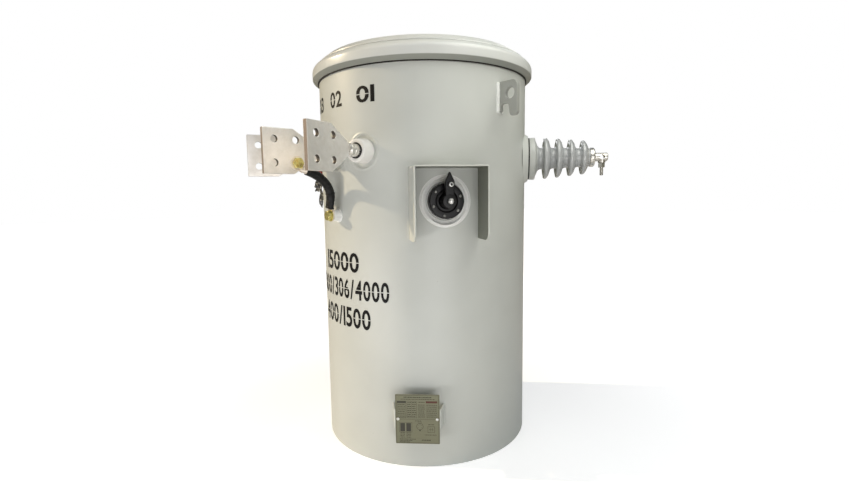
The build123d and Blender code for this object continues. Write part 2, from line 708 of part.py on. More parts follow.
# ---- strap in its shrunk sleeve, flattened over the earth lug ----
bends = []
for before, here, after in zip(route, route[1:], route[2:]):
    first_run = here - before
    second_run = after - here
    bend = math.radians(first_run.get_angle(second_run))
    bends.append(0.45 * min(first_run.length, second_run.length) / math.tan(bend / 2))
strap_line = FilletPolyline(*route, radius=bends)
strap = sweep(strap_start * Circle(strap_radius), strap_line)
foot_reach = earth_boss_reach + strap_foot_thickness / 2
foot_point = Vector(0, -tank_radius - foot_reach, earth_height + strap_foot_rise)
join_plane = Plane(origin=route[-1], x_dir=(1, 0, 0), z_dir=route[-1] - route[-2])
mid_plane = Plane(origin=(route[-1] + foot_point) * 0.5, x_dir=(1, 0, 0), z_dir=foot_point - route[-1])
foot_plane = Plane(origin=foot_point, x_dir=(1, 0, 0), z_dir=(0, 0, -1))
mid_width = strap_radius + strap_foot_width / 2
mid_thickness = strap_radius + strap_foot_thickness / 2
taper = loft(
    [
        join_plane * Ellipse(strap_radius, strap_radius),
        mid_plane * Ellipse(mid_width / 2, mid_thickness / 2),
        foot_plane * Ellipse(strap_foot_width / 2, strap_foot_thickness / 2),
    ]
)
pieces["earth_strap"] = strap + taper - strap_lug - earth_lug

# ---- pressure relief valve ----
relief_place = station(relief_angle, tank_radius, relief_height)
relief_boss = relief_place * rod(relief_boss_radius, -tank_wall, relief_boss_reach) - around_tank
pieces["relief_boss"] = relief_boss
outlet_turn = Pos(0, 0, relief_elbow_reach) * Rot(relief_fall_angle, 0, 0)
elbow = Pos(0, 0, relief_elbow_reach) * Sphere(relief_body_radius)
elbow += rod(relief_body_radius, relief_boss_reach, relief_elbow_reach)
elbow += outlet_turn * rod(relief_body_radius, 0, relief_outlet)
pieces["relief_body"] = relief_place * elbow - relief_boss - around_tank
cap_tip = relief_outlet + relief_cap_height
relief_cap = turned(
    [
        (0, relief_outlet),
        (relief_cap_radius - relief_cap_edge, relief_outlet),
        (relief_cap_radius, relief_outlet + relief_cap_edge),
        (relief_cap_radius, relief_outlet + relief_cap_rim),
        (relief_cap_radius * 0.94, relief_outlet + relief_cap_height * 0.45),
        (relief_cap_radius * 0.76, relief_outlet + relief_cap_height * 0.75),
        (relief_cap_radius * 0.42, relief_outlet + relief_cap_height * 0.95),
        (0, cap_tip),
    ]
)
relief_cap = relief_place * (outlet_turn * relief_cap)
pieces["relief_cap"] = relief_cap

# ---- stiff pull strap, tied under the relief valve's cap in a long and a short loop ----
fall = math.radians(relief_fall_angle)
knot_reach = tank_radius + relief_elbow_reach + cap_tip * math.cos(fall)
knot_height = relief_height - cap_tip * math.sin(fall) - pull_knot_drop
knot_centre = station(relief_angle, knot_reach, knot_height).origin
pull_face = Plane(
    origin=knot_centre,
    x_dir=station(relief_angle + pull_turn, 0, 0).x_dir,
    z_dir=station(relief_angle + pull_turn, 0, 0).z_dir,
)
pull = Pos(*knot_centre) * Sphere(pull_knot_radius)
for points in (pull_long_loop, pull_short_loop):
    path = pull_face * Spline(*points, periodic=True)
    start = Plane(origin=path.position_at(0), z_dir=path.tangent_at(0))
    pull += sweep(start * Circle(pull_radius), path)
pieces["relief_pull"] = pull - relief_cap

os.makedirs("parts", exist_ok=True)
for name, piece in pieces.items():
    export_step(piece, f"parts/{name}.step")
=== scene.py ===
import math

import bmesh
import bpy
from mathutils import Matrix, Vector, noise


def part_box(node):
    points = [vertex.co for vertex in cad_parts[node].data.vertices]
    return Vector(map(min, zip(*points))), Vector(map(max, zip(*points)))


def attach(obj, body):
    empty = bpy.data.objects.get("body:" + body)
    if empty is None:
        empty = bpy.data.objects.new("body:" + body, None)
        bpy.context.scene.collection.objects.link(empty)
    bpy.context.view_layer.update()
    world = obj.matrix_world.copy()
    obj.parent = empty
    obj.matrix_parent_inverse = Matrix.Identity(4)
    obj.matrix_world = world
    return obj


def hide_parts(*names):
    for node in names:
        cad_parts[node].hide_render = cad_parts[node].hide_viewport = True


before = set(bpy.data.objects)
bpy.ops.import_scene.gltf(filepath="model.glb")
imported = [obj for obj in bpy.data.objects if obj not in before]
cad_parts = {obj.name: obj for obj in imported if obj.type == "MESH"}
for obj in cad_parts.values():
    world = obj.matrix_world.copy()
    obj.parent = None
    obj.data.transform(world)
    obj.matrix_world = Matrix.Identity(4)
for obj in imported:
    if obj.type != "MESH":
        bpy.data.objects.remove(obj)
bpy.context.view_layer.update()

# ==== Camera ====
# A wide lens close to the tank, at about two thirds of its height, looking slightly down
# from the front right, tipped a little to the right.
camera_place = Vector((0.8893, -0.7664, 0.55435))
camera_azimuth = math.radians(49.251)
camera_pitch = math.radians(6.475)
camera_tip = math.radians(0.824)
level_right = Vector((math.cos(camera_azimuth), math.sin(camera_azimuth), 0))
level_forward = Vector((-math.sin(camera_azimuth), math.cos(camera_azimuth), 0))
forward = level_forward * math.cos(camera_pitch) - Vector((0, 0, math.sin(camera_pitch)))
upward = level_right.cross(forward)
right = level_right * math.cos(camera_tip) - upward * math.sin(camera_tip)
upward = right.cross(forward)
camera_data = bpy.data.cameras.new("camera")
camera_data.sensor_width = 36
camera_data.lens = 20.42
camera = bpy.data.objects.new("camera", camera_data)
camera_axes = Matrix((right, upward, -forward)).transposed().to_4x4()
camera.matrix_world = Matrix.Translation(camera_place) @ camera_axes
bpy.context.scene.collection.objects.link(camera)
bpy.context.scene.camera = camera
bpy.context.scene.view_settings.view_transform = "Standard"

# ==== Tank wall ====
# A shell rolled from 3 mm steel sheet with seats pressed into it for the bushings and the
# tap changer, painted all over in light sky-grey polyester enamel.
# Sizes are in millimetres; every place on the tank holds the scale that turns them to metres.
mm = 0.001
from_mm = Matrix.Scale(mm, 4)


def linear(hex_colour):
    """An sRGB hex colour as linear RGBA."""
    parts = [int(hex_colour[at:at + 2], 16) / 255 for at in (1, 3, 5)]
    return [c / 12.92 if c <= 0.04045 else ((c + 0.055) / 1.055) ** 2.4 for c in parts] + [1]


def add(owner, kind, inputs=None, **settings):
    """A new node with its settings and inputs."""
    node = owner.node_tree.nodes.new(kind)
    for name, value in settings.items():
        setattr(node, name, value)
    join(owner, node, inputs or {})
    return node


def join(owner, node, inputs):
    """Gives each input a value, a hex colour, an output, or the first output of a node."""
    for name, value in inputs.items():
        if isinstance(value, bpy.types.Node):
            value = next(output for output in value.outputs if output.enabled)
        if isinstance(value, bpy.types.NodeSocket):
            owner.node_tree.links.new(value, node.inputs[name])
        else:
            node.inputs[name].default_value = linear(value) if isinstance(value, str) else value


def dress(material, **inputs):
    """Sets inputs of the material's shader, whose names have spaces for underscores."""
    shader = material.node_tree.nodes["Principled BSDF"]
    join(material, shader, {key.replace("_", " "): value for key, value in inputs.items()})
    return shader


def new_material(name, slot_name, **inputs):
    """A material with its shader's inputs set; slot_name is not used."""
    material = bpy.data.materials.new(name)
    material.use_nodes = True
    dress(material, **inputs)
    return material


def overlay(material, factor, colour):
    """Lays one more colour over a material's, as strongly as the factor says."""
    under = dress(material).inputs["Base Color"].links[0].from_socket
    layers = {"Factor": factor, "A": under, "B": colour}
    dress(material, Base_Color=add(material, "ShaderNodeMix", layers, data_type="RGBA"))


def surface(name, slot_name, light, dark, tone, rough=None, bump=None, coarse=0.5, **inputs):
    """A finish varied by noise, each kind with its grain in millimetres and its detail first: tone
    goes on with the range that runs from light to dark, rough with a range and the least and the
    most roughness, and bump with its strength and its depth in millimetres."""
    material = new_material(name, slot_name, **inputs)
    place = add(material, "ShaderNodeTexCoord").outputs["Object"]
    for kind, recipe in (("Base Color", tone), ("Roughness", rough), ("Normal", bump)):
        if not recipe:
            continue
        grain, detail, *amounts = recipe
        scale = [1 / (size * mm) for size in (grain if isinstance(grain, tuple) else [grain] * 3)]
        field = add(material, "ShaderNodeTexNoise", {
            "Vector": add(material, "ShaderNodeMapping", {"Vector": place, "Scale": scale}),
            "Scale": 1.0, "Detail": detail, "Roughness": 0.5 if kind == "Normal" else coarse,
        })
        if kind == "Normal":
            relief = {"Height": field, "Strength": amounts[0], "Distance": amounts[1] * mm}
            result = add(material, "ShaderNodeBump", relief)
        else:
            limits = dict(zip(("From Min", "From Max", "To Min", "To Max"), amounts))
            result = add(material, "ShaderNodeMapRange", {"Value": field, **limits})
        if kind == "Base Color":
            shades = {"Factor": result, "A": light, "B": dark}
            result = add(material, "ShaderNodeMix", shades, data_type="RGBA")
        join(material, dress(material), {kind: result})
    return material


def painted(name, paint, shadow_tint, roughness):
    """Sprayed and stoved enamel: an even colour with a fine orange peel and a little dust."""
    sheen = (6, 4.0, 0, 1, roughness - 0.05, roughness + 0.06)
    material = surface(
        name, "grey_enamel", paint, shadow_tint,
        (170, 3.0, 0.35, 0.7), sheen, (2.2, 1.0, 0.25, 0.05), IOR=1.5,
    )
    place = add(material, "ShaderNodeTexCoord").outputs["Object"]
    speck = add(material, "ShaderNodeTexVoronoi", {"Vector": place, "Scale": 1 / (34 * mm)})
    dot = add(material, "ShaderNodeMapRange", {
        "Value": speck, "From Min": 0.012, "From Max": 0.02, "To Min": 0.55, "To Max": 0.0,
    })
    overlay(material, dot, "#5E5A50")
    return material


def coat(material, *names):
    """Gives the material to nodes of the frame that are shown as they are."""
    for name in names:
        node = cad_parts[name]
        node.data.materials.clear()
        node.data.materials.append(material)


# Stoved polyester enamel on steel: smooth, semi-gloss, broad soft reflections.
tank_enamel = painted("sky_grey_polyester_enamel", "#CBCEC9", "#C4C7C2", 0.36)
coat(tank_enamel, "tank_wall")
wall_thickness = 3
bottom_low, bottom_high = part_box("tank_bottom")
tank_radius = (bottom_high.x - bottom_low.x) / 2 / mm + wall_thickness
tank_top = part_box("tank_wall")[1].z / mm


def angle_of(node):
    """The direction of a node's middle round the tank's axis: 0 at the front, 90 at the right."""
    low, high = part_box(node)
    middle = (low + high) / 2
    return math.degrees(math.atan2(middle.x, -middle.y))


def height_of(node):
    """The height of a node's middle, in millimetres."""
    low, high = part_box(node)
    return (low.z + high.z) / 2 / mm


def station(angle, reach=0.0, height=0.0):
    """A place on the tank, reach out from its wall, measured in millimetres: x runs to the right,
    y up and z straight out."""
    turn = math.radians(angle)
    outward = Vector((math.sin(turn), -math.cos(turn), 0))
    across = Vector((math.cos(turn), math.sin(turn), 0))
    axes = Matrix((across, Vector((0, 0, 1)), outward)).transposed().to_4x4()
    middle = outward * (tank_radius + reach) + Vector((0, 0, height))
    return from_mm @ Matrix.Translation(middle) @ axes


def wall_at(across):
    """How far out the round wall lies, that far to the side of a place on it."""
    return math.sqrt(tank_radius ** 2 - across ** 2) - tank_radius


def keep(name, mesh, material, replaced=(), body="tank", smooth_angle=35):
    """Turns a finished mesh into a piece that rides on a body."""
    materials = material if isinstance(material, list) else [material]
    mesh.shade_smooth()
    for material_used in materials:
        mesh.materials.append(material_used)
    piece = bpy.data.objects.new(name, mesh)
    bpy.context.scene.collection.objects.link(piece)
    mesh.set_sharp_from_angle(angle=math.radians(smooth_angle))
    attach(piece, body)
    if replaced:
        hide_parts(*replaced)
    return piece


def taken(made, place):
    """The object's mesh with its modifiers applied, moved to its place; it and its cutters go."""
    bpy.context.scene.collection.objects.link(made)
    bpy.context.view_layer.update()
    graph = bpy.context.evaluated_depsgraph_get()
    mesh = bpy.data.meshes.new_from_object(made.evaluated_get(graph))
    for used in [step.object for step in made.modifiers if step.type == "BOOLEAN"] + [made]:
        bpy.data.objects.remove(used)
    mesh.materials.clear()
    mesh.transform(place)
    return mesh


def bead(name, place, points, width, material, seed):
    """A weld bead along points of a place: a half-round ripple, painted over."""
    path = [place @ Vector(point) for point in points]
    curve = bpy.data.curves.new(name, "CURVE")
    curve.dimensions = "3D"
    curve.bevel_depth = width / 2 * mm
    curve.bevel_resolution = 3
    curve.use_fill_caps = True
    spline = curve.splines.new("POLY")
    walked = [0.0]
    for a, b in zip(path, path[1:]):
        walked.append(walked[-1] + (b - a).length)
    point_spacing, ripple_length, lump_length = 0.9 * mm, 2.4 * mm, 11 * mm
    count = max(6, int(walked[-1] / point_spacing))
    spline.points.add(count - 1)
    for index, point in enumerate(spline.points):
        along = walked[-1] * index / (count - 1)
        ends = enumerate(walked[1:])
        leg = next((leg for leg, end in ends if along <= end + 1e-9), len(path) - 2)
        share = (along - walked[leg]) / max(walked[leg + 1] - walked[leg], 1e-9)
        ripple = abs(math.sin(along / ripple_length * math.pi))
        lump = noise.noise(Vector((along / lump_length, seed * 7.3, 0)))
        point.co = (*(path[leg].lerp(path[leg + 1], share) + Vector((0, 0, lump * 0.4 * mm))), 1)
        taper = min(1.0, 0.45 + index / 5, 0.45 + (count - 1 - index) / 5)
        point.radius = taper * (0.9 + 0.16 * ripple + 0.22 * lump)
    made = bpy.data.objects.new(name, curve)
    keep(name, taken(made, Matrix()), material, smooth_angle=60)


# The rolled sheet closes in one upright seam at the back, and the bottom is welded in from
# below; both beads are ground nearly flush and show as low ripples under the paint.
seam_angle = 152.0
seam_path = [(0, height, 0) for height in (6, 250, 500, tank_top - 5)]
bead("tank_seam", station(seam_angle, -0.8), seam_path, 5, tank_enamel, 1)
bottom_weld_width = 4.4
foot_radius = tank_radius - bottom_weld_width / 2
foot_path = [
    (foot_radius * math.sin(turn), -foot_radius * math.cos(turn), bottom_weld_width / 2)
    for turn in (math.radians(step * 3.0) for step in range(121))
]
bead("bottom_weld", from_mm, foot_path, bottom_weld_width, tank_enamel, 2)
coat(tank_enamel, "tank_bottom")

# ==== Core, coils and oil ====
# Wound conductor and core steel wrapped in kraft paper under mineral oil, closed in by the tank
# and never seen from outside; soaked paper is a plain brown with a low gloss.
coil_paper = new_material("oiled_kraft_paper", None, Base_Color="#8A6A3C", Roughness=0.45)
coat(coil_paper, "core_coil_and_oil")


# ==== Lid gasket ====
# A flat ring of cork-filled nitrile rubber squeezed between the rim and the lid, which shows
# as a thin black line.
def rubbery(name, slot_name, dark, worn, roughness, grain, ior=1.5):
    """Moulded or cut rubber: near black, dull, with a fine grain."""
    return surface(
        name, slot_name, dark, worn, (grain, 5.0, 0, 1),
        (grain, 5.0, 0, 1, roughness - 0.08, roughness + 0.1), (grain, 5.0, 0.4, 0.08), IOR=ior,
    )


# The cut edge of cork and rubber: nearly black, flecked and quite matt.
gasket_rubber = rubbery("cork_filled_nitrile_rubber", None, "#151514", "#2C2A27", 0.7, 1.5)
coat(gasket_rubber, "lid_gasket", "hv_gasket")


# ==== Lid ====
# One spun steel dome with a crisp rim band over a tapered skirt, a fine groove round its
# raised centre, and the same enamel as the tank.
def rounded(corners, steps=5, closed=True):
    """A line through (x, y, radius) corners, with an arc of that radius at each."""
    line = []
    count = len(corners)
    for index, (x, y, radius) in enumerate(corners):
        here = Vector((x, y))
        if radius <= 0 or (not closed and index in (0, count - 1)):
            line.append(here)
            continue
        before = Vector(corners[index - 1][:2]) - here
        after = Vector(corners[(index + 1) % count][:2]) - here
        half_angle = before.angle(after) / 2
        reach = min(radius / math.tan(half_angle), before.length * 0.49, after.length * 0.49)
        radius = reach * math.tan(half_angle)
        bisector = (before.normalized() + after.normalized()).normalized()
        middle = here + bisector * radius / math.sin(half_angle)
        first = here + before.normalized() * reach - middle
        last = here + after.normalized() * reach - middle
        sweep = first.angle_signed(last)
        turns = [-sweep * step / steps for step in range(steps + 1)]
        line += [middle + Matrix.Rotation(turn, 2) @ first for turn in turns]
    return line


def circle(x, y, radius, steps=28):
    """Points round a circle, from its right side."""
    turns = [math.tau * step / steps for step in range(steps)]
    return [Vector((x + radius * math.cos(turn), y + radius * math.sin(turn))) for turn in turns]


def bridge(shape, rings):
    """Joins each ring of vertices to the next by a closed band of faces, which are returned."""
    faces = []
    for lower, upper in zip(rings, rings[1:]):
        for index in range(len(lower)):
            after = (index + 1) % len(lower)
            corners = [lower[index], lower[after], upper[after], upper[index]]
            corners = [vert for order, vert in enumerate(corners) if vert not in corners[:order]]
            if len(corners) > 2:
                faces.append(shape.faces.new(corners))
    return faces


def turned(shape, profile, steps=32, closed=False):
    """Adds a turned form to a mesh: (radius, distance) points spun round z."""
    rings = []
    for radius, along in profile:
        if radius == 0:
            rings.append([shape.verts.new((0, 0, along))] * steps)
        else:
            ring = circle(0, 0, radius, steps)
            rings.append([shape.verts.new((*point, along)) for point in ring])
    bridge(shape, rings + rings[:1] if closed else rings)


def meshed(shape, name, place=Matrix(), faced=True):
    """The finished shape as a mesh moved to its place, its faces turned outward if asked for."""
    if faced:
        bmesh.ops.recalc_face_normals(shape, faces=shape.faces)
    mesh = bpy.data.meshes.new(name)
    shape.to_mesh(mesh)
    shape.free()
    mesh.transform(place)
    return mesh


def lathe(name, profile, place, material, replaced=(), body="tank", steps=96, smooth_angle=35):
    """A turned piece; a profile that starts off the axis closes on itself."""
    shape = bmesh.new()
    turned(shape, profile, steps, closed=profile[0][0] > 0)
    return keep(name, meshed(shape, name, place), material, replaced, body, smooth_angle)


lid_low, lid_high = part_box("lid")
lid_seat, lid_top, lid_radius = lid_low.z / mm, lid_high.z / mm, lid_high.x / mm
skirt_end, groove_height = lid_seat + 5.6, lid_seat + 35.4
# The skirt below the rim and the groove round the crown are painted darker. This is painted shade:
# the skirt faces down and the groove lies in shadow.
lid_enamel = painted("sky_grey_lid_enamel", "#D2D4D1", "#CBCECA", 0.3)
lid_spot = add(lid_enamel, "ShaderNodeTexCoord").outputs["Object"]
lid_level = add(lid_enamel, "ShaderNodeSeparateXYZ", {"Vector": lid_spot}).outputs["Z"]
skirt_painted_shade = add(lid_enamel, "ShaderNodeMapRange", {
    "Value": lid_level, "From Min": skirt_end * mm, "From Max": (skirt_end + 1) * mm,
    "To Min": 0.75, "To Max": 0.0,
})
groove_band = {0: lid_level, 1: groove_height * mm, 2: mm}
in_groove = add(lid_enamel, "ShaderNodeMath", groove_band, operation="COMPARE")
groove_painted_shadow = add(lid_enamel, "ShaderNodeMath", {0: in_groove, 1: 0.6}, operation="MULTIPLY")
lid_painted_shade = add(lid_enamel, "ShaderNodeMath", {0: skirt_painted_shade, 1: groove_painted_shadow}, operation="MAXIMUM")
overlay(lid_enamel, lid_painted_shade, "#73776D")
lid_sheet = 3
crown_edge = lid_top - 5.5
lid_line = rounded([
    (0, lid_top - lid_sheet, 0),
    (tank_radius - 22, crown_edge - lid_sheet, 4),
    (tank_radius - 4, lid_seat + 32, 3),
    (tank_radius - 4, lid_seat + lid_sheet, 2),
    (tank_radius - 9, lid_seat + lid_sheet, 0),
    (tank_radius - 9, lid_seat, 0),
    (tank_radius + 0.9, lid_seat, 0),
    (tank_radius + 0.9, lid_seat - 1.4, 0),
    (tank_radius + 4.5, lid_seat - 1.4, 0.4),
    (lid_radius - 0.8, skirt_end, 0.4),
    (lid_radius, lid_seat + 7, 0.8),
    (lid_radius, lid_seat + 26, 13),
    (tank_radius + 1.4, lid_seat + 35.2, 0.5),
    (tank_radius - 0.4, lid_seat + 34.4, 0.3),
    (tank_radius - 0.9, lid_seat + 38.6, 1),
    (tank_radius - 15.5, crown_edge - 1.2, 6),
    (tank_radius * 0.55, crown_edge + 4.1, 60),
    (0, lid_top, 0),
], closed=False)
lathe("lid_dome", lid_line, from_mm, lid_enamel, ["lid"], steps=192, smooth_angle=30)


# ==== Low-voltage bushings and seals ====
# Three short porcelain cups, cast and glazed off-white, each clamped in a round seat pressed
# into the wall, with a rubber ring sealing the stud in its mouth.
def glazed(name, slot_name, light, dark):
    """Fired porcelain glaze: glassy, with a faint cloud in it and hardly any texture."""
    return surface(
        name, slot_name, light, dark,
        (22, 3.0, 0, 1), (22, 3.0, 0, 1, 0.15, 0.27), (5, 1.0, 0.15, 0.12),
        IOR=1.52, Coat_Weight=0.35, Coat_Roughness=0.06,
    )


# Off-white and wet-looking, with small sharp highlights; the rubber in its mouth is dull.
white_glaze = glazed("off_white_porcelain_glaze", "white_porcelain", "#F2F1EE", "#E6E5E1")
seal_rubber = rubbery("moulded_nitrile_rubber", "black_rubber", "#121212", "#232322", 0.5, 0.9)
lv_height = height_of("lv_bushing_centre")
lv_seat = -3.5
stud_radius = 12.7
cup = rounded([
    (stud_radius + 0.3, -20, 0),
    (18, -20, 0),
    (18, 0.2, 0),
    (25.5, 0.2, 0.6),
    (25.5, 3.4, 2.5),
    (22.5, 27, 2.6),
    (15.4, 27, 0.8),
    (15.3, 22, 0),
    (stud_radius + 0.3, 22, 0),
])
ring_seal = rounded([
    (stud_radius + 0.2, 22.1, 0),
    (15.1, 22.1, 0),
    (15.1, 28.2, 0.9),
    (stud_radius + 0.2, 28.2, 0.7),
])


def seat_face(name, line, lip_radius, place, paint=tank_enamel):
    """The drawn enamelled face of a pressed seat, which meets the round wall in a low lip."""
    piece = lathe(name, line, Matrix(), paint, steps=128, smooth_angle=60)
    for vert in piece.data.vertices:
        radius = math.hypot(vert.co.x, vert.co.y)
        lip = 0.9 * math.exp(-((radius - lip_radius) / 2) ** 2)
        vert.co.z = min(vert.co.z, wall_at(vert.co.x) + 0.08 + lip)
    piece.data.transform(place)


lv_drawn = [(24, -3.6), (24, -3.3), (30.4, -3.3)]
lv_drawn += [(30.4 + step * 0.6, -3.3 + step * 0.8) for step in range(1, 20)]
lv_angles = {side: angle_of(f"lv_seal_{side}") for side in ("left", "centre", "right")}
for side, lv_angle in lv_angles.items():
    seat_face(f"lv_seat_face_{side}", lv_drawn, 35, station(lv_angle, 0, lv_height))
    seat = station(lv_angle, lv_seat, lv_height)
    lathe(f"lv_cup_{side}", cup, seat, white_glaze, [f"lv_bushing_{side}"])
    lathe(f"lv_ring_{side}", ring_seal, seat, seal_rubber, [f"lv_seal_{side}"])


# ==== Low-voltage spades ====
# Each terminal is a forged brass stud and a four-hole blade in one piece, sheared and drilled,
# then tinned; the blade's cut edges stay rough and a little warmer in colour.
def tinned(name, slot_name, light, dark, roughness, metal, grain):
    """Plated metal: dull with handling, with drawn lines along it and small bright scratches."""
    sheen = (16, 4.0, 0.3, 0.7, roughness - 0.08, roughness + 0.1)
    material = surface(
        name, slot_name, light, dark,
        (16, 4.0, 0.3, 0.72), sheen, ((45, 45, grain), 3.0, 0.3, 0.05), coarse=0.6, Metallic=metal,
    )
    scratch = add(material, "ShaderNodeTexNoise", {
        "Vector": add(material, "ShaderNodeMapping", {
            "Vector": add(material, "ShaderNodeTexCoord").outputs["Object"],
            "Rotation": (0.5, 0.2, 0.3), "Scale": (1 / (22 * mm), 1 / (22 * mm), 1 / (0.9 * mm)),
        }),
        "Scale": 1.0, "Detail": 2.0,
    })
    scored = {"Value": scratch, "From Min": 0.67, "From Max": 0.74, "To Max": 0.45}
    overlay(material, add(material, "ShaderNodeMapRange", scored), "#E9E6E0")
    return material


def inset(loop, distance):
    """The loop of points moved to its left, corners mitred."""
    moved = []
    for before, here, after in zip(loop[-1:] + loop[:-1], loop, loop[1:] + loop[:1]):
        first, second = (here - before).normalized(), (after - here).normalized()
        first_left = Vector((-first.y, first.x))
        middle = (first_left + Vector((-second.y, second.x))).normalized()
        moved.append(here + middle * distance / max(0.35, middle.dot(first_left)))
    return moved


def turning(loop, anticlockwise=True):
    """The same loop, running the way asked for."""
    area = sum(a.x * b.y - b.x * a.y for a, b in zip(loop, loop[1:] + loop[:1]))
    return loop if (area > 0) == anticlockwise else loop[::-1]


def flat_faced(piece):
    """The piece with its flat faces shaded flat."""
    piece.modifiers.new("flat_faces_stay_flat", "WEIGHTED_NORMAL").keep_sharp = True


def plate(name, outline, holes, thickness, edge, place, material, replaced=(), body="tank"):
    """A plate cut from sheet in the place's xy plane, thickness centred, every edge eased; a second
    and third material go on its cut outline and in its holes."""
    ease = [
        (edge * (1 - math.sin(turn)), thickness / 2 - edge * (1 - math.cos(turn)))
        for turn in (0, math.pi / 6, math.pi / 3, math.pi / 2)
    ]
    rows = [(shift, -height) for shift, height in ease]
    rows += [(shift, height) for shift, height in reversed(ease)]
    upright_row = len(ease) - 1
    shape = bmesh.new()
    ends = ([], [])
    for number, loop in enumerate([turning(outline)] + [turning(hole, False) for hole in holes]):
        rings = [
            [shape.verts.new((point.x, point.y, height)) for point in inset(loop, shift)]
            for shift, height in rows
        ]
        faces = bridge(shape, rings)
        if isinstance(material, list):
            for face in faces[upright_row * len(loop):(upright_row + 1) * len(loop)]:
                face.material_index = 2 if number else 1
        ends[0].append(rings[0])
        ends[1].append(rings[-1])
    for rings in ends:
        pairs = [(ring[index - 1], ring[index]) for ring in rings for index in range(len(ring))]
        edges = [shape.edges.get(pair) for pair in pairs]
        bmesh.ops.triangle_fill(shape, use_beauty=True, edges=edges)
    flat_faced(keep(name, meshed(shape, name, place), material, replaced, body))


# Tin over brass: pale and satin on the blades and brighter on the turned studs; inside the holes it
# is painted dark as painted shade.
blade_tin, hole_painted_shade_tin, stud_tin = [
    tinned(name, "tinned_metal", light, dark, roughness, metal, grain)
    for name, light, dark, roughness, metal, grain in (
        ("tinned_brass_blade", "#FAF7F4", "#E9E5DF", 0.4, 0.72, 1.1),
        ("tin_in_holes_painted_shade", "#5E5852", "#3E3A35", 0.5, 0.5, 1.1),
        ("tinned_brass_stud", "#E2E0DA", "#CBC8C0", 0.28, 0.85, 0.6),
    )
]
# Brass torn by the shears: rough, warm and hardly shiny; its colour is also painted darker as
# painted shade, for the dark surroundings it reflects.
cut_edge = surface(
    "sheared_brass_edge", "tinned_metal", "#B9A99C", "#85776C",
    (1.2, 3.0), bump=(1.2, 3.0, 0.6, 0.15), Metallic=0.45, Roughness=0.38,
)

blade_root, blade_root_half, blade_half = 34, 11.9, 43.2
slope_start, slope_end, blade_end = 49, 97, 159
hole_radius, hole_half_pitch = 7.15, 22.225
outer_holes = blade_end - 22.4
hole_reaches = (outer_holes, outer_holes - 2 * hole_half_pitch)
blade_outline = rounded([
    (blade_root, -blade_root_half, 0),
    (slope_start, -blade_root_half, 6),
    (slope_end, -blade_half, 1.6),
    (blade_end, -blade_half, 1.2),
    (blade_end, blade_half, 1.2),
    (slope_end, blade_half, 1.6),
    (slope_start, blade_root_half, 6),
    (blade_root, blade_root_half, 0),
])
blade_holes = [
    circle(reach, across, hole_radius)
    for reach in hole_reaches for across in (-hole_half_pitch, hole_half_pitch)
]
stud_line = rounded([
    (0, lv_seat - 25, 0),
    (stud_radius, lv_seat - 25, 0),
    (stud_radius, lv_seat + 38.5, 0.5),
    (stud_radius - 1.1, lv_seat + 39.5, 0.4),
    (stud_radius - 1.1, lv_seat + 41, 0.4),
    (stud_radius - 0.2, lv_seat + 42, 0.5),
    (stud_radius - 0.2, lv_seat + 49, 1.6),
    (stud_radius - 3.4, lv_seat + 52.5, 1.6),
    (0, lv_seat + 52.5, 0),
], closed=False)
# A plate drawn with x straight out from the wall stands upright on it.
upright = Matrix(((0, 0, -1, 0), (0, 1, 0, 0), (1, 0, 0, 0), (0, 0, 0, 1)))
blade_thickness, blade_ease = 9, 0.8
blade_metals = [blade_tin, cut_edge, hole_painted_shade_tin]
for side, lv_angle in lv_angles.items():
    outward = station(lv_angle, 0, lv_height)
    plate(
        f"blade_{side}", blade_outline, blade_holes, blade_thickness, blade_ease,
        outward @ upright, blade_metals, [f"lv_spade_{side}"],
    )
    lathe(f"stud_{side}", stud_line, outward, stud_tin)

# ==== High-voltage bushing ====
# A ribbed insulator of light grey glazed porcelain, held on a raised pad by a painted steel
# clamp flange over a rubber gasket, with a tinned cap and a clamp terminal on its end.

# The same wet-looking glaze as on the small bushings, in light grey.
grey_glaze = glazed("light_grey_porcelain_glaze", "grey_porcelain", "#BEC0C0", "#ADB0B1")
hv_pad_rise = 7
hv_pad = station(angle_of("hv_gasket"), hv_pad_rise, height_of("hv_flange"))
core_start, core_root, core_tip = 21, 24.5, 20
insulator_end = 138
shed_first, shed_pitch = 39.6, 27.7


def core_radius(along):
    """The insulator's core narrows evenly towards its tip."""
    share = max(0, along - core_start) / (insulator_end - core_start)
    return core_root + (core_tip - core_root) * share


insulator_corners = [
    (0, -20, 0), (26, -20, 0), (28.8, 0, 0), (28.8, 22.5, 2), (core_radius(24) + 0.4, 26, 3),
]
for number, shed in enumerate((46.3, 44, 41, 38)):
    crest = shed_first + number * shed_pitch
    insulator_corners += [
        (core_radius(crest - 6), crest - 4.6, 4.5),
        (shed - 7.5, crest - 4.6, 2),
        (shed - 4.5, crest - 3.0, 1.5),
        (shed, crest - 3.4, 1.7),
        (shed, crest + 2.4, 3.2),
        (shed - 7, crest + 7.4, 7),
        (core_radius(crest + 10), crest + 12.2, 6),
    ]
insulator_corners += [(core_tip + 0.4, insulator_end - 0.3, 1.5), (0, insulator_end - 0.3, 0)]
insulator_line = rounded(insulator_corners, closed=False)
lathe("hv_porcelain", insulator_line, hv_pad, grey_glaze, ["hv_insulator"], smooth_angle=50)

# The flange is sprayed apart from the tank, a shade darker.
flange_enamel = painted("sky_grey_flange_enamel", "#C3C6C2", "#BBBEBA", 0.34)
flange_line = rounded([
    (29.4, 3.1, 0),
    (47.8, 3.1, 0.8),
    (48, 15.9, 2.4),
    (42.5, 16.4, 1.5),
    (31.4, 21.2, 1.5),
    (29.4, 21.2, 0),
])
lathe("hv_clamp_flange", flange_line, hv_pad, flange_enamel, ["hv_flange"])

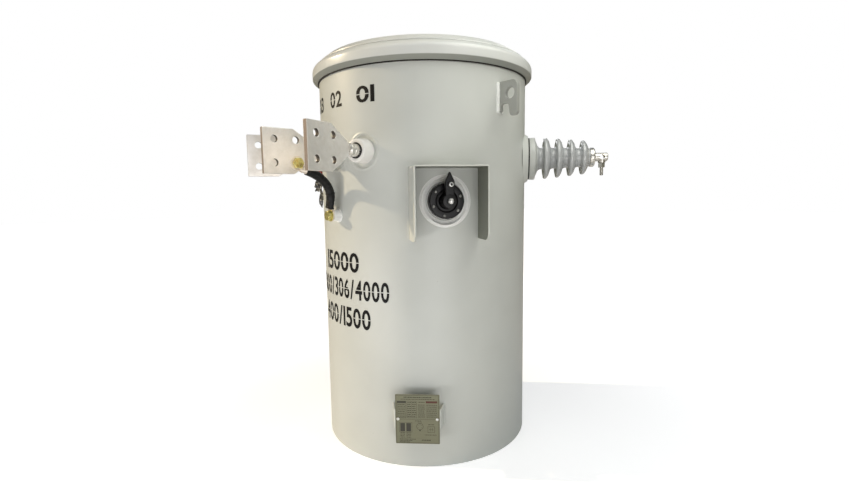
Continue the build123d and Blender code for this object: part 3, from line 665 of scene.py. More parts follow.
# The cap is spun and tinned; the stem is drilled across for the wire, and a screw from below
# with a hexagon nut holds the wire in it.
cap_end = insulator_end + 10.4
cap_line = rounded([
    (0, insulator_end - 0.2, 0),
    (21, insulator_end - 0.2, 0.8),
    (21.4, insulator_end + 2, 1),
    (21.4, insulator_end + 8, 2),
    (18.5, cap_end, 1.5),
    (0, cap_end, 0),
], closed=False)
lathe("hv_end_cap", cap_line, hv_pad, stud_tin, ["hv_cap"])
coat(stud_tin, "hv_terminal")


def hexagon(shape, width, low, high, both_ends=False):
    """Adds a hexagonal head or nut to a mesh, its corners turned off at the far end or both."""
    steps = 48
    half, slope = width / 2, math.tan(math.radians(30))
    rim = half * 0.95
    offs = [math.tau * step / steps % (math.pi / 3) - math.pi / 6 for step in range(steps)]
    reaches = [half / math.cos(off) for off in offs]
    drops = [max(0.0, reach - half) * slope + 0.02 * width for reach in reaches]
    rows = [[(rim, low)] * steps] if both_ends else []
    rows.append([(reach, low + drop if both_ends else low) for reach, drop in zip(reaches, drops)])
    rows.append([(reach, high - drop) for reach, drop in zip(reaches, drops)])
    rows.append([(rim, high)] * steps)
    directions = circle(0, 0, 1, steps)
    rings = [
        [shape.verts.new((*(way * reach), level)) for (reach, level), way in zip(row, directions)]
        for row in rows
    ]
    bridge(shape, rings)
    shape.faces.new(rings[-1])
    shape.faces.new(rings[0][::-1])


def spiral(shape, radius, pitch, low, high, steps=24):
    """Adds a threaded bar to a mesh: one continuous ridge wound round it from low to high."""
    depth = pitch * 0.55
    section = (0.0, depth, depth, 0.0)
    rings = []
    for row in range(-4, int((high - low) / pitch * 4) + 5):
        ring = []
        for step, direction in enumerate(circle(0, 0, 1, steps)):
            along = low + (row / 4 + step / steps) * pitch
            end_ease = min(1.0, max(0.0, (high - along) / pitch))
            across = radius - section[row % 4] - (1 - end_ease) * depth
            ring.append(shape.verts.new((*(direction * across), min(high, max(low, along)))))
        rings.append(ring)
    for index, (here, after) in enumerate(zip(rings, rings[1:])):
        for step in range(steps - 1):
            shape.faces.new((here[step], here[step + 1], after[step + 1], after[step]))
        if index + 5 < len(rings):
            shape.faces.new((here[-1], rings[index + 4][0], rings[index + 5][0], after[-1]))
    shape.faces.new(rings[-1])


def fastener(name, parts, place, material, replaced=(), body="tank"):
    """A bolt, nut or screw: hexagons, threads and turned lengths built into one mesh."""
    shape = bmesh.new()
    for build, *sizes in parts:
        build(shape, *sizes)
    bmesh.ops.remove_doubles(shape, verts=shape.verts, dist=1e-3)
    keep(name, meshed(shape, name, place), material, replaced, body, 28)


def washer(outer, bore, low, high):
    """The part of a fastener that is a flat ring with a softened rim."""
    inner, rim = [(bore, low, 0), (bore, high, 0)], [(outer, low, 0.4), (outer, high, 0.4)]
    return (turned, rounded(inner[:1] + rim + inner[::-1], steps=3, closed=False))


terminal_reach = insulator_end + 27
hanging = hv_pad @ Matrix.Translation((0, 0, terminal_reach)) @ Matrix.Rotation(math.pi / 2, 4, "X")
fastener("hv_wire_screw", [
    (turned, [(0, 5.8), (3.4, 5.8), (3.9, 6.6), (3.9, 12.6), (0, 12.6)]),
    (hexagon, 12.7, 12.6, 23.4, True),
    (spiral, 4, 1.25, 23.2, 40.9),
], hanging, stud_tin, ["hv_clamp_screw"])

# ==== Lifting lugs ====
# Two hooked plates flame-cut from 8 mm steel, each with a hole for a sling, welded upright to
# the wall down both faces and painted with the tank.
lug_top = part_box("lifting_lug_right")[1].z / mm
lug_outline = rounded([
    (-0.6, -58, 0),
    (6, -58, 1),
    (6, -43, 4),
    (24.5, -43, 6.5),
    (28.5, -68.5, 6.5),
    (46.5, -68.5, 8),
    (46.5, 0, 13),
    (-0.6, 0, 0),
])
lug_hole, lug_thickness = circle(28.5, -24.5, 11, 40), 8
# Painted shade: the enamel on the flame-cut lugs is a darker grey, standing in for the tank's
# shadow over them.
lug_painted_shade_enamel = painted("lug_enamel_painted_shade", "#A0A29C", "#979993", 0.4)
# Painted light: the enamel on the lugs' weld beads is near white, standing in for the light that
# their ripples catch.
bead_painted_light_enamel = painted("weld_bead_enamel_painted_light", "#EFF1ED", "#E6E8E4", 0.26)
for side, lug_angle in (("left", -90), ("right", 90)):
    lug_place = station(lug_angle, 0, lug_top)
    plate(
        f"lug_{side}", lug_outline, [lug_hole], lug_thickness, 0.9,
        lug_place @ upright, lug_painted_shade_enamel, [f"lifting_lug_{side}"],
    )
    for face, skin_side in ((-1, "near"), (1, "far")):
        weld = [(face * 6, height, -0.2) for height in (0.5, -20, -40, -60)]
        bead(f"lug_{side}_weld_{skin_side}", lug_place, weld, 9, bead_painted_light_enamel, face + lug_angle)
    end_weld = [(across, -59, -0.3) for across in (-6, 0, 6)]
    bead(f"lug_{side}_weld_end", lug_place, end_weld, 6, tank_enamel, lug_angle + 5)


# ==== Pole hangers ====
# Two channels folded from 6 mm plate and welded to the back of the tank, each with an upright
# slot in its face for the bolt through the pole.
def prism(outline, low, high):
    """The mesh of a plain bar with that outline."""
    shape = bmesh.new()
    rings = [[shape.verts.new((*point, z)) for point in turning(outline)] for z in (low, high)]
    bridge(shape, rings)
    shape.faces.new(rings[0][::-1])
    shape.faces.new(rings[1])
    return meshed(shape, "bar", faced=False)


def cut_out(made, bar):
    """Has the bar's shape cut out of the object."""
    cutter = bpy.data.objects.new("cutter", bar)
    bpy.context.scene.collection.objects.link(cutter)
    cut = made.modifiers.new("cut", "BOOLEAN")
    cut.object, cut.operation, cut.solver = cutter, "DIFFERENCE", "EXACT"


def folded(name, line, back, front, thickness, edge, place, material, replaced, rows=8, hole=None):
    """A sheet folded along a line in the place's xy plane, running along z from back(point) to
    front(point), with the hole's bar cut out of it."""
    shape = bmesh.new()
    grid = []
    for point in line:
        low, high = back(point), front(point)
        levels = [low + (high - low) * row / rows for row in range(rows + 1)]
        grid.append([shape.verts.new((*point, level)) for level in levels])
    for here, after in zip(grid, grid[1:]):
        for row in range(rows):
            shape.faces.new((here[row], after[row], after[row + 1], here[row + 1]))
    sheet = bpy.data.objects.new(name, meshed(shape, name, faced=False))
    solid = sheet.modifiers.new("sheet", "SOLIDIFY")
    solid.thickness, solid.offset, solid.use_even_offset = thickness, 0, True
    if hole:
        cut_out(sheet, hole)
    ease = sheet.modifiers.new("eased", "BEVEL")
    ease.width, ease.segments = edge, 3
    ease.limit_method, ease.angle_limit = "ANGLE", math.radians(50)
    flat_faced(keep(name, taken(sheet, place), material, replaced))


# A sheet drawn with y straight out from the wall runs upright along it.
standing = Matrix(((-1, 0, 0, 0), (0, 0, 1, 0), (0, 1, 0, 0), (0, 0, 0, 1)))
hanger_half, hanger_reach, hanger_sheet = 51, 52, 6
hanger_end = 46
arm_middle, face_middle = hanger_half - hanger_sheet / 2, hanger_reach - hanger_sheet / 2
arm_foot = wall_at(arm_middle)
hanger_line = rounded([
    (-arm_middle, arm_foot, 0),
    (-arm_middle, face_middle, 6),
    (arm_middle, face_middle, 6),
    (arm_middle, arm_foot, 0),
], steps=6, closed=False)
slot_radius, slot_shift = 8.75, 8.25
slot_outline = []
for step in range(32):
    turn = math.tau * (step + 0.5) / 32
    across, rise = slot_radius * math.cos(turn), slot_radius * math.sin(turn)
    slot_outline.append(Vector((across, rise + math.copysign(slot_shift, rise))))
for name in ("upper", "lower"):
    hanger_node = f"hanger_bracket_{name}"
    hanger_place = station(180, 0, height_of(hanger_node))
    slot_bar = prism(slot_outline, 30, 70)
    slot_bar.transform(standing)
    folded(
        f"hanger_{name}", hanger_line, lambda point: -hanger_end, lambda point: hanger_end,
        hanger_sheet, 0.8, hanger_place @ standing, tank_enamel, [hanger_node],
        rows=6, hole=slot_bar,
    )
    for face, side in ((-1, "left"), (1, "right")):
        for skin_side, across in (("out", hanger_half + 1), ("in", hanger_half - hanger_sheet - 1)):
            foot = wall_at(across) - 0.2
            weld = [(face * across, height, foot) for height in (-hanger_end, 0, hanger_end)]
            bead_name = f"hanger_{name}_weld_{skin_side}_{side}"
            bead(bead_name, hanger_place, weld, 6.5, tank_enamel, face + across / 10)


# ==== Tap changer hood ====
# A rain hood folded from 3 mm sheet, open below, with rounded lower corners; welded to the
# wall along its top and both sides.
def resampled(line, spacing):
    """The same line with points added, so that they lie about that far apart."""
    spread = []
    for here, after in zip(line, line[1:]):
        steps = max(1, round((after - here).length / spacing))
        spread += [here.lerp(after, step / steps) for step in range(steps)]
    return spread + line[-1:]


tap_angle, tap_height = angle_of("tap_shaft"), height_of("tap_disc")
tap_place = station(tap_angle, 0, tap_height)
hood_half, hood_sheet = 71, 3
hood_rise, hood_fall, hood_reach, hood_corner = 66.4, 74.6, 56, 20
side_middle, top_middle = hood_half - hood_sheet / 2, hood_rise - hood_sheet / 2
corner_turns = [math.radians(turn) for turn in range(0, 100, 10)]
side_heights = [-hood_fall + hood_corner * (1 - math.cos(turn)) for turn in corner_turns]
side_heights += [-20, 20]
hood_line = [Vector((-side_middle, height)) for height in side_heights]
hood_line += rounded([
    (-side_middle, 30, 0),
    (-side_middle, top_middle, 3),
    (0, top_middle, 0),
    (side_middle, top_middle, 3),
    (side_middle, 30, 0),
], closed=False)
hood_line += [Vector((side_middle, height)) for height in reversed(side_heights)]


def hood_back(point):
    """The back edge, cut to the round wall."""
    return wall_at(point.x) - 0.3


def hood_front(point):
    """The front edge, drawn back round the lower corners."""
    short = max(0.0, hood_corner - (point.y + hood_fall))
    return hood_reach - (hood_corner - math.sqrt(max(0.0, hood_corner ** 2 - short ** 2)))


# Painted light: the pressed seat under the hood gets a paler enamel than the wall, standing in for
# the light that falls on its drawn rings.
seat_painted_light_enamel = painted("seat_enamel_painted_light", "#F6F7F4", "#EFF0ED", 0.28)
# Painted shade: inside the hood, out of the light, the inner faces are painted a darker olive grey.
hood_enamel = painted("hood_enamel_with_painted_inner_shade", "#CDCFC8", "#C4C6BF", 0.34)
hood_spot = add(hood_enamel, "ShaderNodeTexCoord").outputs["Object"]
hood_across = Vector((math.cos(math.radians(tap_angle)), math.sin(math.radians(tap_angle)), 0))
along_hood = {0: hood_spot, 1: hood_across}
hood_side = add(hood_enamel, "ShaderNodeVectorMath", along_hood, operation="DOT_PRODUCT")
hood_off = add(hood_enamel, "ShaderNodeMath", {0: hood_side}, operation="ABSOLUTE")
hood_level = add(hood_enamel, "ShaderNodeSeparateXYZ", {"Vector": hood_spot}).outputs["Z"]
inner_half, inner_top = hood_half - hood_sheet + 0.3, tap_height + hood_rise - hood_sheet + 0.3
hood_within = [
    add(hood_enamel, "ShaderNodeMath", {0: value, 1: limit * mm}, operation="LESS_THAN")
    for value, limit in ((hood_off, inner_half), (hood_level, inner_top))
]
hood_both = dict(enumerate(hood_within))
hood_painted_shade = add(hood_enamel, "ShaderNodeMath", hood_both, operation="MULTIPLY")
overlay(hood_enamel, hood_painted_shade, "#6B6E62")
folded(
    "hood", resampled(hood_line, 9), hood_back, hood_front, hood_sheet, 0.7,
    tap_place, hood_enamel, ["tap_hood"],
)
for face, side in ((-1, "left"), (1, "right")):
    across = face * (hood_half + 0.8)
    foot = wall_at(across) - 0.2
    weld = [(across, height, foot) for height in (-hood_fall + 1, -20, 30, hood_rise)]
    bead(f"hood_weld_{side}", tap_place, weld, 4.6, tank_enamel, face * 3)
top_steps = [step / 18 * hood_half for step in range(-18, 19)]
top_weld = [(across, hood_rise + 0.8, wall_at(across) - 0.3) for across in top_steps]
bead("hood_weld_top", tap_place, top_weld, 4.6, tank_enamel, 11)

# ==== Tap changer ====
# A five-step switch moulded in black phenolic: its flange is held in the pressed seat by six
# screws, and numbers in its dish mark the steps.

# Phenolic moulded against a polished die: deep black with a soft gloss.
black_moulding = rubbery(
    "black_phenolic_moulding", "black_moulding", "#060607", "#101011", 0.34, 2.5, 1.36,
)
disc_line = rounded([
    (5.3, -7.4, 0),
    (34.4, -7.4, 0),
    (34.4, 11.4, 2),
    (22, 11.4, 0.8),
    (20, 7.6, 0.6),
    (15.8, 7.6, 0.6),
    (14, 11.4, 0.8),
    (14, 21.9, 1),
    (10, 21.9, 0.4),
    (9.4, 21.2, 0.4),
    (5.3, 21.2, 0),
])
lathe("tap_flange", disc_line, tap_place, black_moulding, ["tap_disc"])
tap_drawn = [(34.8, -7.5), (34.8, -7.2), (36.8, -7.2), (37.5, -6.4), (38.2, -5.1)]
tap_drawn += [(39, -4.75), (42.6, -4.75)]
tap_drawn += [(42.6 + step * 0.6, -4.75 + step * 0.9) for step in range(1, 16)]
seat_face("tap_seat_face", tap_drawn, 46.8, tap_place, seat_painted_light_enamel)


def lettered(name, text, height, bold=0.0):
    """Plain numbers of that height as a flat mesh with its middle at the origin."""
    curve = bpy.data.curves.new(name, "FONT")
    curve.body = text
    curve.offset = bold
    curve.resolution_u = 4
    mesh = taken(bpy.data.objects.new(name, curve), Matrix())
    xs, ys = [vert.co.x for vert in mesh.vertices], [vert.co.y for vert in mesh.vertices]
    middle = Vector((max(xs) + min(xs), max(ys) + min(ys), 0)) / 2
    tall = height / (max(ys) - min(ys))
    mesh.transform(Matrix.Diagonal((tall, tall, 1, 1)) @ Matrix.Translation(-middle))
    return mesh


step_turn, number_radius, screw_radius = 36, 25.2, 28
for number in range(1, 6):
    turn = math.radians(90 + (3 - number) * step_turn)
    digit = lettered(f"tap_number_{number}", str(number), 4.6)
    solid = bmesh.new()
    solid.from_mesh(digit)
    raised = bmesh.ops.extrude_face_region(solid, geom=solid.faces[:])
    raised_verts = [part for part in raised["geom"] if isinstance(part, bmesh.types.BMVert)]
    bmesh.ops.translate(solid, verts=raised_verts, vec=(0, 0, 0.6))
    across, rise = number_radius * math.cos(turn), number_radius * math.sin(turn)
    number_place = tap_place @ Matrix.Translation((across, rise, 11.2))
    keep(f"tap_number_{number}", meshed(solid, digit.name, number_place), black_moulding)


def cut_head(name, line, steps, bar, place, material, replaced, body="tank"):
    """A turned screw head with the bar's shape cut out of it."""
    shape = bmesh.new()
    turned(shape, line, steps)
    head = bpy.data.objects.new(name, meshed(shape, name))
    cut_out(head, bar)
    keep(name, taken(head, place), material, replaced, body)


# Zinc on steel: silvery on the nut and the socket screw, greyer on the small screws.
bright_steel, dull_steel = [
    tinned(name, "bright_steel", light, dark, roughness, metal, 0.7)
    for name, light, dark, roughness, metal in (
        ("bright_zinc_plated_steel", "#C9C9C6", "#A9A9A5", 0.3, 1.0),
        ("dull_zinc_plated_steel", "#A2A29E", "#7C7C79", 0.4, 0.9),
    )
]
arm, half = 1.8, 0.4
cross = [(-half, -arm), (half, -arm), (half, -half), (arm, -half), (arm, half), (half, half)]
cross = [Vector(point) for point in cross] + [-Vector(point) for point in cross]
screw_corners = [(0, 0, 0), (2.9, 0, 0), (2.9, 1.2, 0.5), (1.8, 2.1, 1.2), (0, 2.15, 0)]
screw_line = rounded(screw_corners, closed=False)
for number in range(6):
    turn = math.radians(20 + number * 60)
    across, rise = screw_radius * math.cos(turn), screw_radius * math.sin(turn)
    cross_bar = prism(cross, 1.1, 4)
    cross_bar.transform(Matrix.Rotation(number * 0.7, 4, "Z"))
    screw_place = tap_place @ Matrix.Translation((across, rise, 11.3))
    cut_head(
        f"tap_screw_{number + 1}", screw_line, 24, cross_bar, screw_place, dull_steel,
        [] if number else ["tap_screws"],
    )

# The pointer is moulded with its hub, turns on the shaft under a plain nut, and is locked by a
# socket screw; it swings two steps to each side of upright.
pointer_half = [(8.2, -2, 0), (8.2, 18, 12), (9.3, 36.5, 3), (1.1, 54.3, 0.9)]
other_half = [(-across, rise, radius) for across, rise, radius in reversed(pointer_half)]
pointer_outline = rounded(pointer_half + other_half)
handle, pointer_height, pointer_thickness = "tap_handle_body", 33, 10
plate(
    "pointer", pointer_outline, [], pointer_thickness, 1.6,
    tap_place @ Matrix.Translation((0, 0, pointer_height)), black_moulding, ["tap_handle"], handle,
)
hub_line = rounded([(5.2, 23, 0), (13.8, 23, 0.8), (13.8, 38.2, 1.6), (5.2, 38.2, 0)])
lathe("pointer_hub", hub_line, tap_place, black_moulding, body=handle)
shaft_tip = [(0, 48, 0), (3.9, 48, 0), (3.9, 49.8, 1), (2.9, 50.9, 0.8), (0, 50.9, 0)]
fastener("tap_shaft_end", [
    (hexagon, 9.5, 38.3, 48, True),
    (turned, rounded(shaft_tip, closed=False)),
    (turned, [(0, -20), (4.9, -20), (4.9, 39), (0, 39)]),
], tap_place, bright_steel, ["tap_shaft"], handle)
socket_radius = 2.6
lock_line = rounded([(0, 38.1, 0), (4.5, 38.1, 0.3), (4.5, 50.9, 0.9), (0, 50.9, 0)], closed=False)
lock_place = tap_place @ Matrix.Translation((0, 30.8, 0))
# Painted shade: a black plug fills the bottom of the hexagon socket, standing in for the shadow
# inside it.
socket_painted_shade = prism(circle(0, 0, socket_radius * 0.97, 6), 46.1, 49.3)
socket_painted_shade.transform(lock_place)
keep("pointer_lock_socket_painted_shade", socket_painted_shade, black_moulding, body=handle)
socket_bar = prism(circle(0, 0, socket_radius, 6), 46, 55)
cut_head(
    "pointer_lock_head", lock_line, 48, socket_bar, lock_place, bright_steel,
    ["tap_lock_screw"], handle,
)
lock_thread = [(spiral, 2.45, 0.8, 19.2, 29)]
fastener("pointer_lock_shank", lock_thread, lock_place, bright_steel, body=handle)

# ==== Nameplate ====
# An etched aluminium plate riveted to a bracket that is folded from 2 mm strip and welded to
# the wall; its lines, boxes and rows are filled with dark paint and say nothing.

# Etched and lacquered aluminium: olive grey and half shiny, with fine lines along it.
etched = surface(
    "etched_aluminium_plate", "etched_plate", "#86866F", "#767662", ((30, 30, 0.7), 2.0),
    bump=((30, 30, 0.7), 2.0, 0.25, 0.03), Metallic=0.55, Roughness=0.45,
)
plate_angle, plate_height = angle_of("nameplate"), height_of("nameplate")
plate_face = station(plate_angle, 27, plate_height)
plate_half_width, plate_half_height, rivet_across = 44, 51, 39
plate_outline = rounded([
    (-plate_half_width, -plate_half_height, 1.5),
    (plate_half_width, -plate_half_height, 1.5),
    (plate_half_width, plate_half_height, 1.5),
    (-plate_half_width, plate_half_height, 1.5),
], steps=3)
rivet_holes = [circle(across, 0, 1.6, 16) for across in (-rivet_across, rivet_across)]
plate_place = plate_face @ Matrix.Translation((0, 0, -0.5))
plate("rating_plate", plate_outline, rivet_holes, 1, 0.2, plate_place, etched, ["nameplate"])

# Two dull paints rubbed into the etching.
etch_paint, heading_paint = [
    new_material(name, "etched_plate", Base_Color=colour, Roughness=0.6)
    for name, colour in (
        ("dark_etch_filling_paint", "#3E3D34"), ("brown_etch_filling_paint", "#5A352C"),
    )
]
marks = bmesh.new()


def mark(x0, y0, x1, y1, kind=0):
    """One painted bar of the plate, from its middle, with its ends at (x0, y0) and (x1, y1)."""
    corners = [marks.verts.new((x, y, 0.06)) for x, y in ((x0, y0), (x1, y0), (x1, y1), (x0, y1))]
    marks.faces.new(corners).material_index = kind


def frame_lines(x0, y0, x1, y1, width=0.5):
    """The four sides of a box."""
    mark(x0, y1 - width, x1, y1)
    mark(x0, y0, x1, y0 + width)
    mark(x0, y0 + width, x0 + width, y1 - width)
    mark(x1 - width, y0 + width, x1, y1 - width)


def row_of_bars(x0, x1, y, tall, seed):
    """Short bars with gaps, as a row of small print looks from a step away."""
    at, turn = x0, seed
    while at < x1 - 0.8:
        turn = (turn * 137 + 71) % 997
        long = 1.2 + turn % 5 * 0.75
        mark(at, y - tall / 2, min(at + long, x1), y + tall / 2)
        at += long + 0.7


# The border and two rows of heading.
frame_lines(-42.6, -49.6, 42.6, 49.6, 0.7)
row_of_bars(-27, 29, 45.2, 2.0, 5)
row_of_bars(-33, 34, 41.2, 1.3, 9)
# Three tables side by side, the last with a brown heading.
frame_lines(-40.5, 2.6, -22.5, 37.5)
mark(-40.5, 33.2, -22.5, 37.5)
for row in range(6):
    row_of_bars(-39, -24, 30.4 - row * 4.9, 1.3, row + 3)
    mark(-40.5, 27.8 - row * 4.9, -22.5, 28.1 - row * 4.9)
frame_lines(-20.8, 2.6, -1.5, 37.5)
mark(-11.4, 2.6, -11.0, 37.5)
for row in range(8):
    row_of_bars(-19.6, -12.2, 34.6 - row * 4.2, 1.6, row + 31)
    row_of_bars(-10.2, -2.6, 34.6 - row * 4.2, 1.6, row + 51)
mark(17, 33.4, 39.5, 37.6, 1)
row_of_bars(1.2, 14.5, 35.4, 1.4, 77)
for row in range(7):
    row_of_bars(1.2, 14.5, 29.6 - row * 4.1, 1.2, row + 91)
    row_of_bars(18, 39, 29.6 - row * 4.1, 1.2, row + 111)
    mark(0.6, 27.4 - row * 4.1, 40.4, 27.65 - row * 4.1)
mark(-35.5, -0.25, 35.5, 0.25)
row_of_bars(-5, 7, -3.4, 1.2, 7)
# Below the middle: two blocks in a box, a dial with its steps, and a small diagram.
for column in (-34.5, -22.5):
    mark(column, -25.5, column + 9.2, -8.2)
    for row in range(4):
        row_of_bars(column, column + 9.2, -28.6 - row * 3.0, 1.2, row + int(-column) + 17)
frame_lines(-36.5, -27, -11, -6.6)
dial_x, dial_y = 4.5, -15
bridge(marks, [
    [marks.verts.new((*point, 0.06)) for point in circle(dial_x, dial_y, radius, 48)]
    for radius in (6.9, 6.2)
])
frame_lines(1.2, -7.6, 7.8, -4.9, 0.4)
mark(3.1, -24.4, 6.0, -22.0)
for step in range(5):
    turn = math.radians(-30 + step * 60)
    x, y = dial_x + 4.2 * math.cos(turn), dial_y + 4.2 * math.sin(turn)
    mark(x - 0.5, y - 0.5, x + 0.5, y + 0.5)
frame_lines(20, -27.5, 34, -14.5, 0.6)
mark(24.6, -24.5, 25.2, -17.5)
mark(28.8, -24.5, 29.4, -17.5)
mark(22.4, -21.3, 31.6, -20.7)
row_of_bars(21, 33, -10.8, 1.3, 201)
row_of_bars(14, 38, -32.2, 1.2, 211)
for row in range(3):
    row_of_bars(-36, -4 - row * 6, -41.6 - row * 2.9, 1.3, row + 221)
row_of_bars(8, 27, -43.2, 1.8, 231)
marks_mesh = meshed(marks, "plate_marks", plate_face, faced=False)
keep("plate_marks", marks_mesh, [etch_paint, heading_paint])

# Soft aluminium rivets with low round heads, one each side of the plate's middle.
rivet_metal = new_material(
    "aluminium_rivet", "bright_steel", Base_Color="#E2E2DE", Metallic=0.6, Roughness=0.35,
)
rivet_line = rounded([
    (0, -2, 0),
    (1.5, -2, 0),
    (1.5, 0.05, 0),
    (3, 0.05, 0.1),
    (2.7, 1.0, 0.6),
    (1.4, 1.55, 0.8),
    (0, 1.58, 0),
], closed=False)
rivets = (("left", -1, ["nameplate_rivets"]), ("right", 1, []))
for side, face, replaced in rivets:
    rivet_place = plate_face @ Matrix.Translation((face * rivet_across, 0, 0))
    lathe(f"plate_rivet_{side}", rivet_line, rivet_place, rivet_metal, replaced, steps=32)

# The bracket's front and its flared arms are one strip of even height.
strip_half, strip_thickness = 20, 2
bracket_foot, bracket_front, bracket_face = 51.4, 46, 24.9
bracket_line = rounded([
    (-bracket_foot, wall_at(bracket_foot), 0),
    (-bracket_front, bracket_face, 1.6),
    (bracket_front, bracket_face, 1.6),
    (bracket_foot, wall_at(bracket_foot), 0),
], steps=4, closed=False)
bracket_place = station(plate_angle, 0, plate_height)
bracket_line = resampled(bracket_line, 3)
folded(
    "plate_bracket", bracket_line, lambda point: -strip_half, lambda point: strip_half,
    strip_thickness, 0.5, bracket_place @ standing, tank_enamel, ["nameplate_bracket"],
)
for face, side in ((-1, "left"), (1, "right")):
    across = face * 53
    weld = [(across, height, wall_at(across) - 0.2) for height in (-strip_half, 0, strip_half)]
    bead(f"bracket_weld_{side}", bracket_place, weld, 3.4, tank_enamel, face * 9)

# ==== Earth stud ====
# A tapped steel boss welded to the wall and painted white; a tinned copper lug is clamped on
# it by a yellow-passivated hexagon bolt with its washer.

# Primer without a top coat: white and hardly glossy.
white_paint = painted("white_primer_paint", "#F1F2F0", "#E8E9E6", 0.45)
# Passivated zinc shimmers between straw yellow, green and a little red over its bright metal.
yellow_zinc = new_material("yellow_passivated_zinc", "yellow_zinc", Metallic=1.0)
yellow_place = add(yellow_zinc, "ShaderNodeTexCoord").outputs["Object"]
yellow_cloud, yellow_fine = [
    add(yellow_zinc, "ShaderNodeTexNoise", {
        "Vector": yellow_place, "Scale": 1 / (size * mm), "Detail": detail,
    })
    for size, detail in ((6, 3.0), (0.8, 2.0))
]
yellow_ramp = add(yellow_zinc, "ShaderNodeValToRGB", {"Fac": yellow_cloud})
stops = yellow_ramp.color_ramp.elements
hues = ((0.34, "#CBB567"), (0.5, "#E2DA94"), (0.62, "#BEB876"), (0.72, "#C69A68"))
for stop, (position, hue) in enumerate(hues):
    element = stops[stop] if stop < 2 else stops.new(position)
    element.position, element.color = position, linear(hue)
yellow_sheen = {"Value": yellow_fine, "To Min": 0.2, "To Max": 0.42}
yellow_relief = {"Height": yellow_fine, "Strength": 0.3, "Distance": 0.05 * mm}
dress(
    yellow_zinc, Base_Color=yellow_ramp,
    Roughness=add(yellow_zinc, "ShaderNodeMapRange", yellow_sheen),
    Normal=add(yellow_zinc, "ShaderNodeBump", yellow_relief),
)

earth_place = station(0, 0, height_of("earth_boss"))
boss_line = rounded([(0, -2, 0), (12, -2, 0), (12, 15.9, 1.2), (0, 15.9, 0)], closed=False)
lathe("earth_pad", boss_line, earth_place, white_paint, ["earth_boss"], steps=64)
weld_ring = circle(0, 0, 13, 40)
boss_weld = [(*point, wall_at(point.x) + 0.2) for point in weld_ring + weld_ring[:1]]
bead("earth_pad_weld", earth_place, boss_weld, 4.2, white_paint, 21)

# Tin over copper: pale and satin, a little warmer than over brass.
copper_tin = tinned("tinned_copper_lug", "tinned_metal", "#EEE7DD", "#D8CBB9", 0.38, 0.5, 1.0)
lug_half, lug_end, lug_bore = 12, 30, 6.3
lug_turns = [math.radians(turn) for turn in range(180, 361, 9)]
lug_foot = [Vector((lug_half * math.cos(turn), lug_half * math.sin(turn))) for turn in lug_turns]
lug_foot += [Vector((lug_half, lug_end - 2)), Vector((lug_half - 2, lug_end))]
lug_foot += [Vector((2 - lug_half, lug_end)), Vector((-lug_half, lug_end - 2))]
bolt_hole = circle(0, 0, lug_bore, 24)
earth_lug_place = earth_place @ Matrix.Translation((0, 0, 17.5))
plate("earth_lug_plate", lug_foot, [bolt_hole], 3, 0.5, earth_lug_place, copper_tin, ["earth_lug"])
bolt_crown = rounded([(0, 28.85, 0), (2.4, 28.95, 0.3), (2.6, 28.6, 0), (0, 28.6, 0)], closed=False)
fastener("earth_clamp_bolt", [
    washer(12, 5, 19, 21),
    (turned, [(5, 12), (5.9, 12), (5.9, 20), (5, 20)]),
    (turned, [(0, 21), (9.2, 21), (9.2, 21.5), (0, 21.5)]),
    (hexagon, 19, 21.4, 28.9),
    (turned, bolt_crown),
], earth_place, yellow_zinc, ["earth_bolt"])


# ==== Neutral strap ====
# A flexible braid in a shrunk black sleeve, from a barrel lug bolted to the centre blade down
# to the earth stud; the sleeve shows a lapped band, fine wrinkles and a flat flared foot.
def flowing(points, count):
    """A smooth run of places through the given ones, evenly spread between each two."""
    run = []
    padded = [points[0] * 2 - points[1]] + points + [points[-1] * 2 - points[-2]]
    legs = len(points) - 1
    for step in range(count + 1):
        share = step / count * legs
        leg = min(int(share), legs - 1)
        t = share - leg
        a, b, c, d = padded[leg:leg + 4]
        square, cube = 2 * a - 5 * b + 4 * c - d, 3 * b - a - 3 * c + d
        run.append(0.5 * (2 * b + (c - a) * t + square * t * t + cube * t ** 3))
    return run


def skin(name, centres, section, side_hint, place, material, replaced, steps, smooth_angle=50):
    """A skin drawn along points of a place; section(share, turn) gives the outline there, across
    and over."""
    shape = bmesh.new()
    rings = []
    for index, centre in enumerate(centres):
        ahead = centres[min(index + 1, len(centres) - 1)] - centres[max(index - 1, 0)]
        ahead.normalize()
        side = (side_hint - ahead * side_hint.dot(ahead)).normalized()
        over = ahead.cross(side)
        share = index / (len(centres) - 1)
        outline = [section(share, math.tau * step / steps) for step in range(steps)]
        ring = [centre + side * across + over * above for across, above in outline]
        rings.append([shape.verts.new(point) for point in ring])
    bridge(shape, rings)
    shape.faces.new(rings[0][::-1])
    shape.faces.new(rings[-1])
    keep(name, meshed(shape, name, place), material, replaced, smooth_angle=smooth_angle)


# Shrunk polyolefin: black, nearly matt and finely wrinkled.
sleeve = rubbery("shrunk_polyolefin_sleeve", "black_sleeve", "#030304", "#0A0A0B", 0.42, 1.8, 1.38)
blade_middle = height_of("lv_spade_centre")
strap_stations = [
    Vector((across, -tank_radius - reach, blade_middle - drop))
    for across, reach, drop in (
        (13, 77.5, 36.9), (12.8, 66, 40.2), (12.3, 50, 48.2), (11.4, 36, 59.5), (10.2, 27.5, 71),
        (8.6, 23, 83), (5.5, 21.4, 94), (1.5, 21.1, 105), (0, 20.9, 112.3),
    )
]


def hump(share, middle, width):
    """One at the middle, falling away to nothing at about twice that width from it."""
    return math.exp(-((share - middle) / width) ** 2)


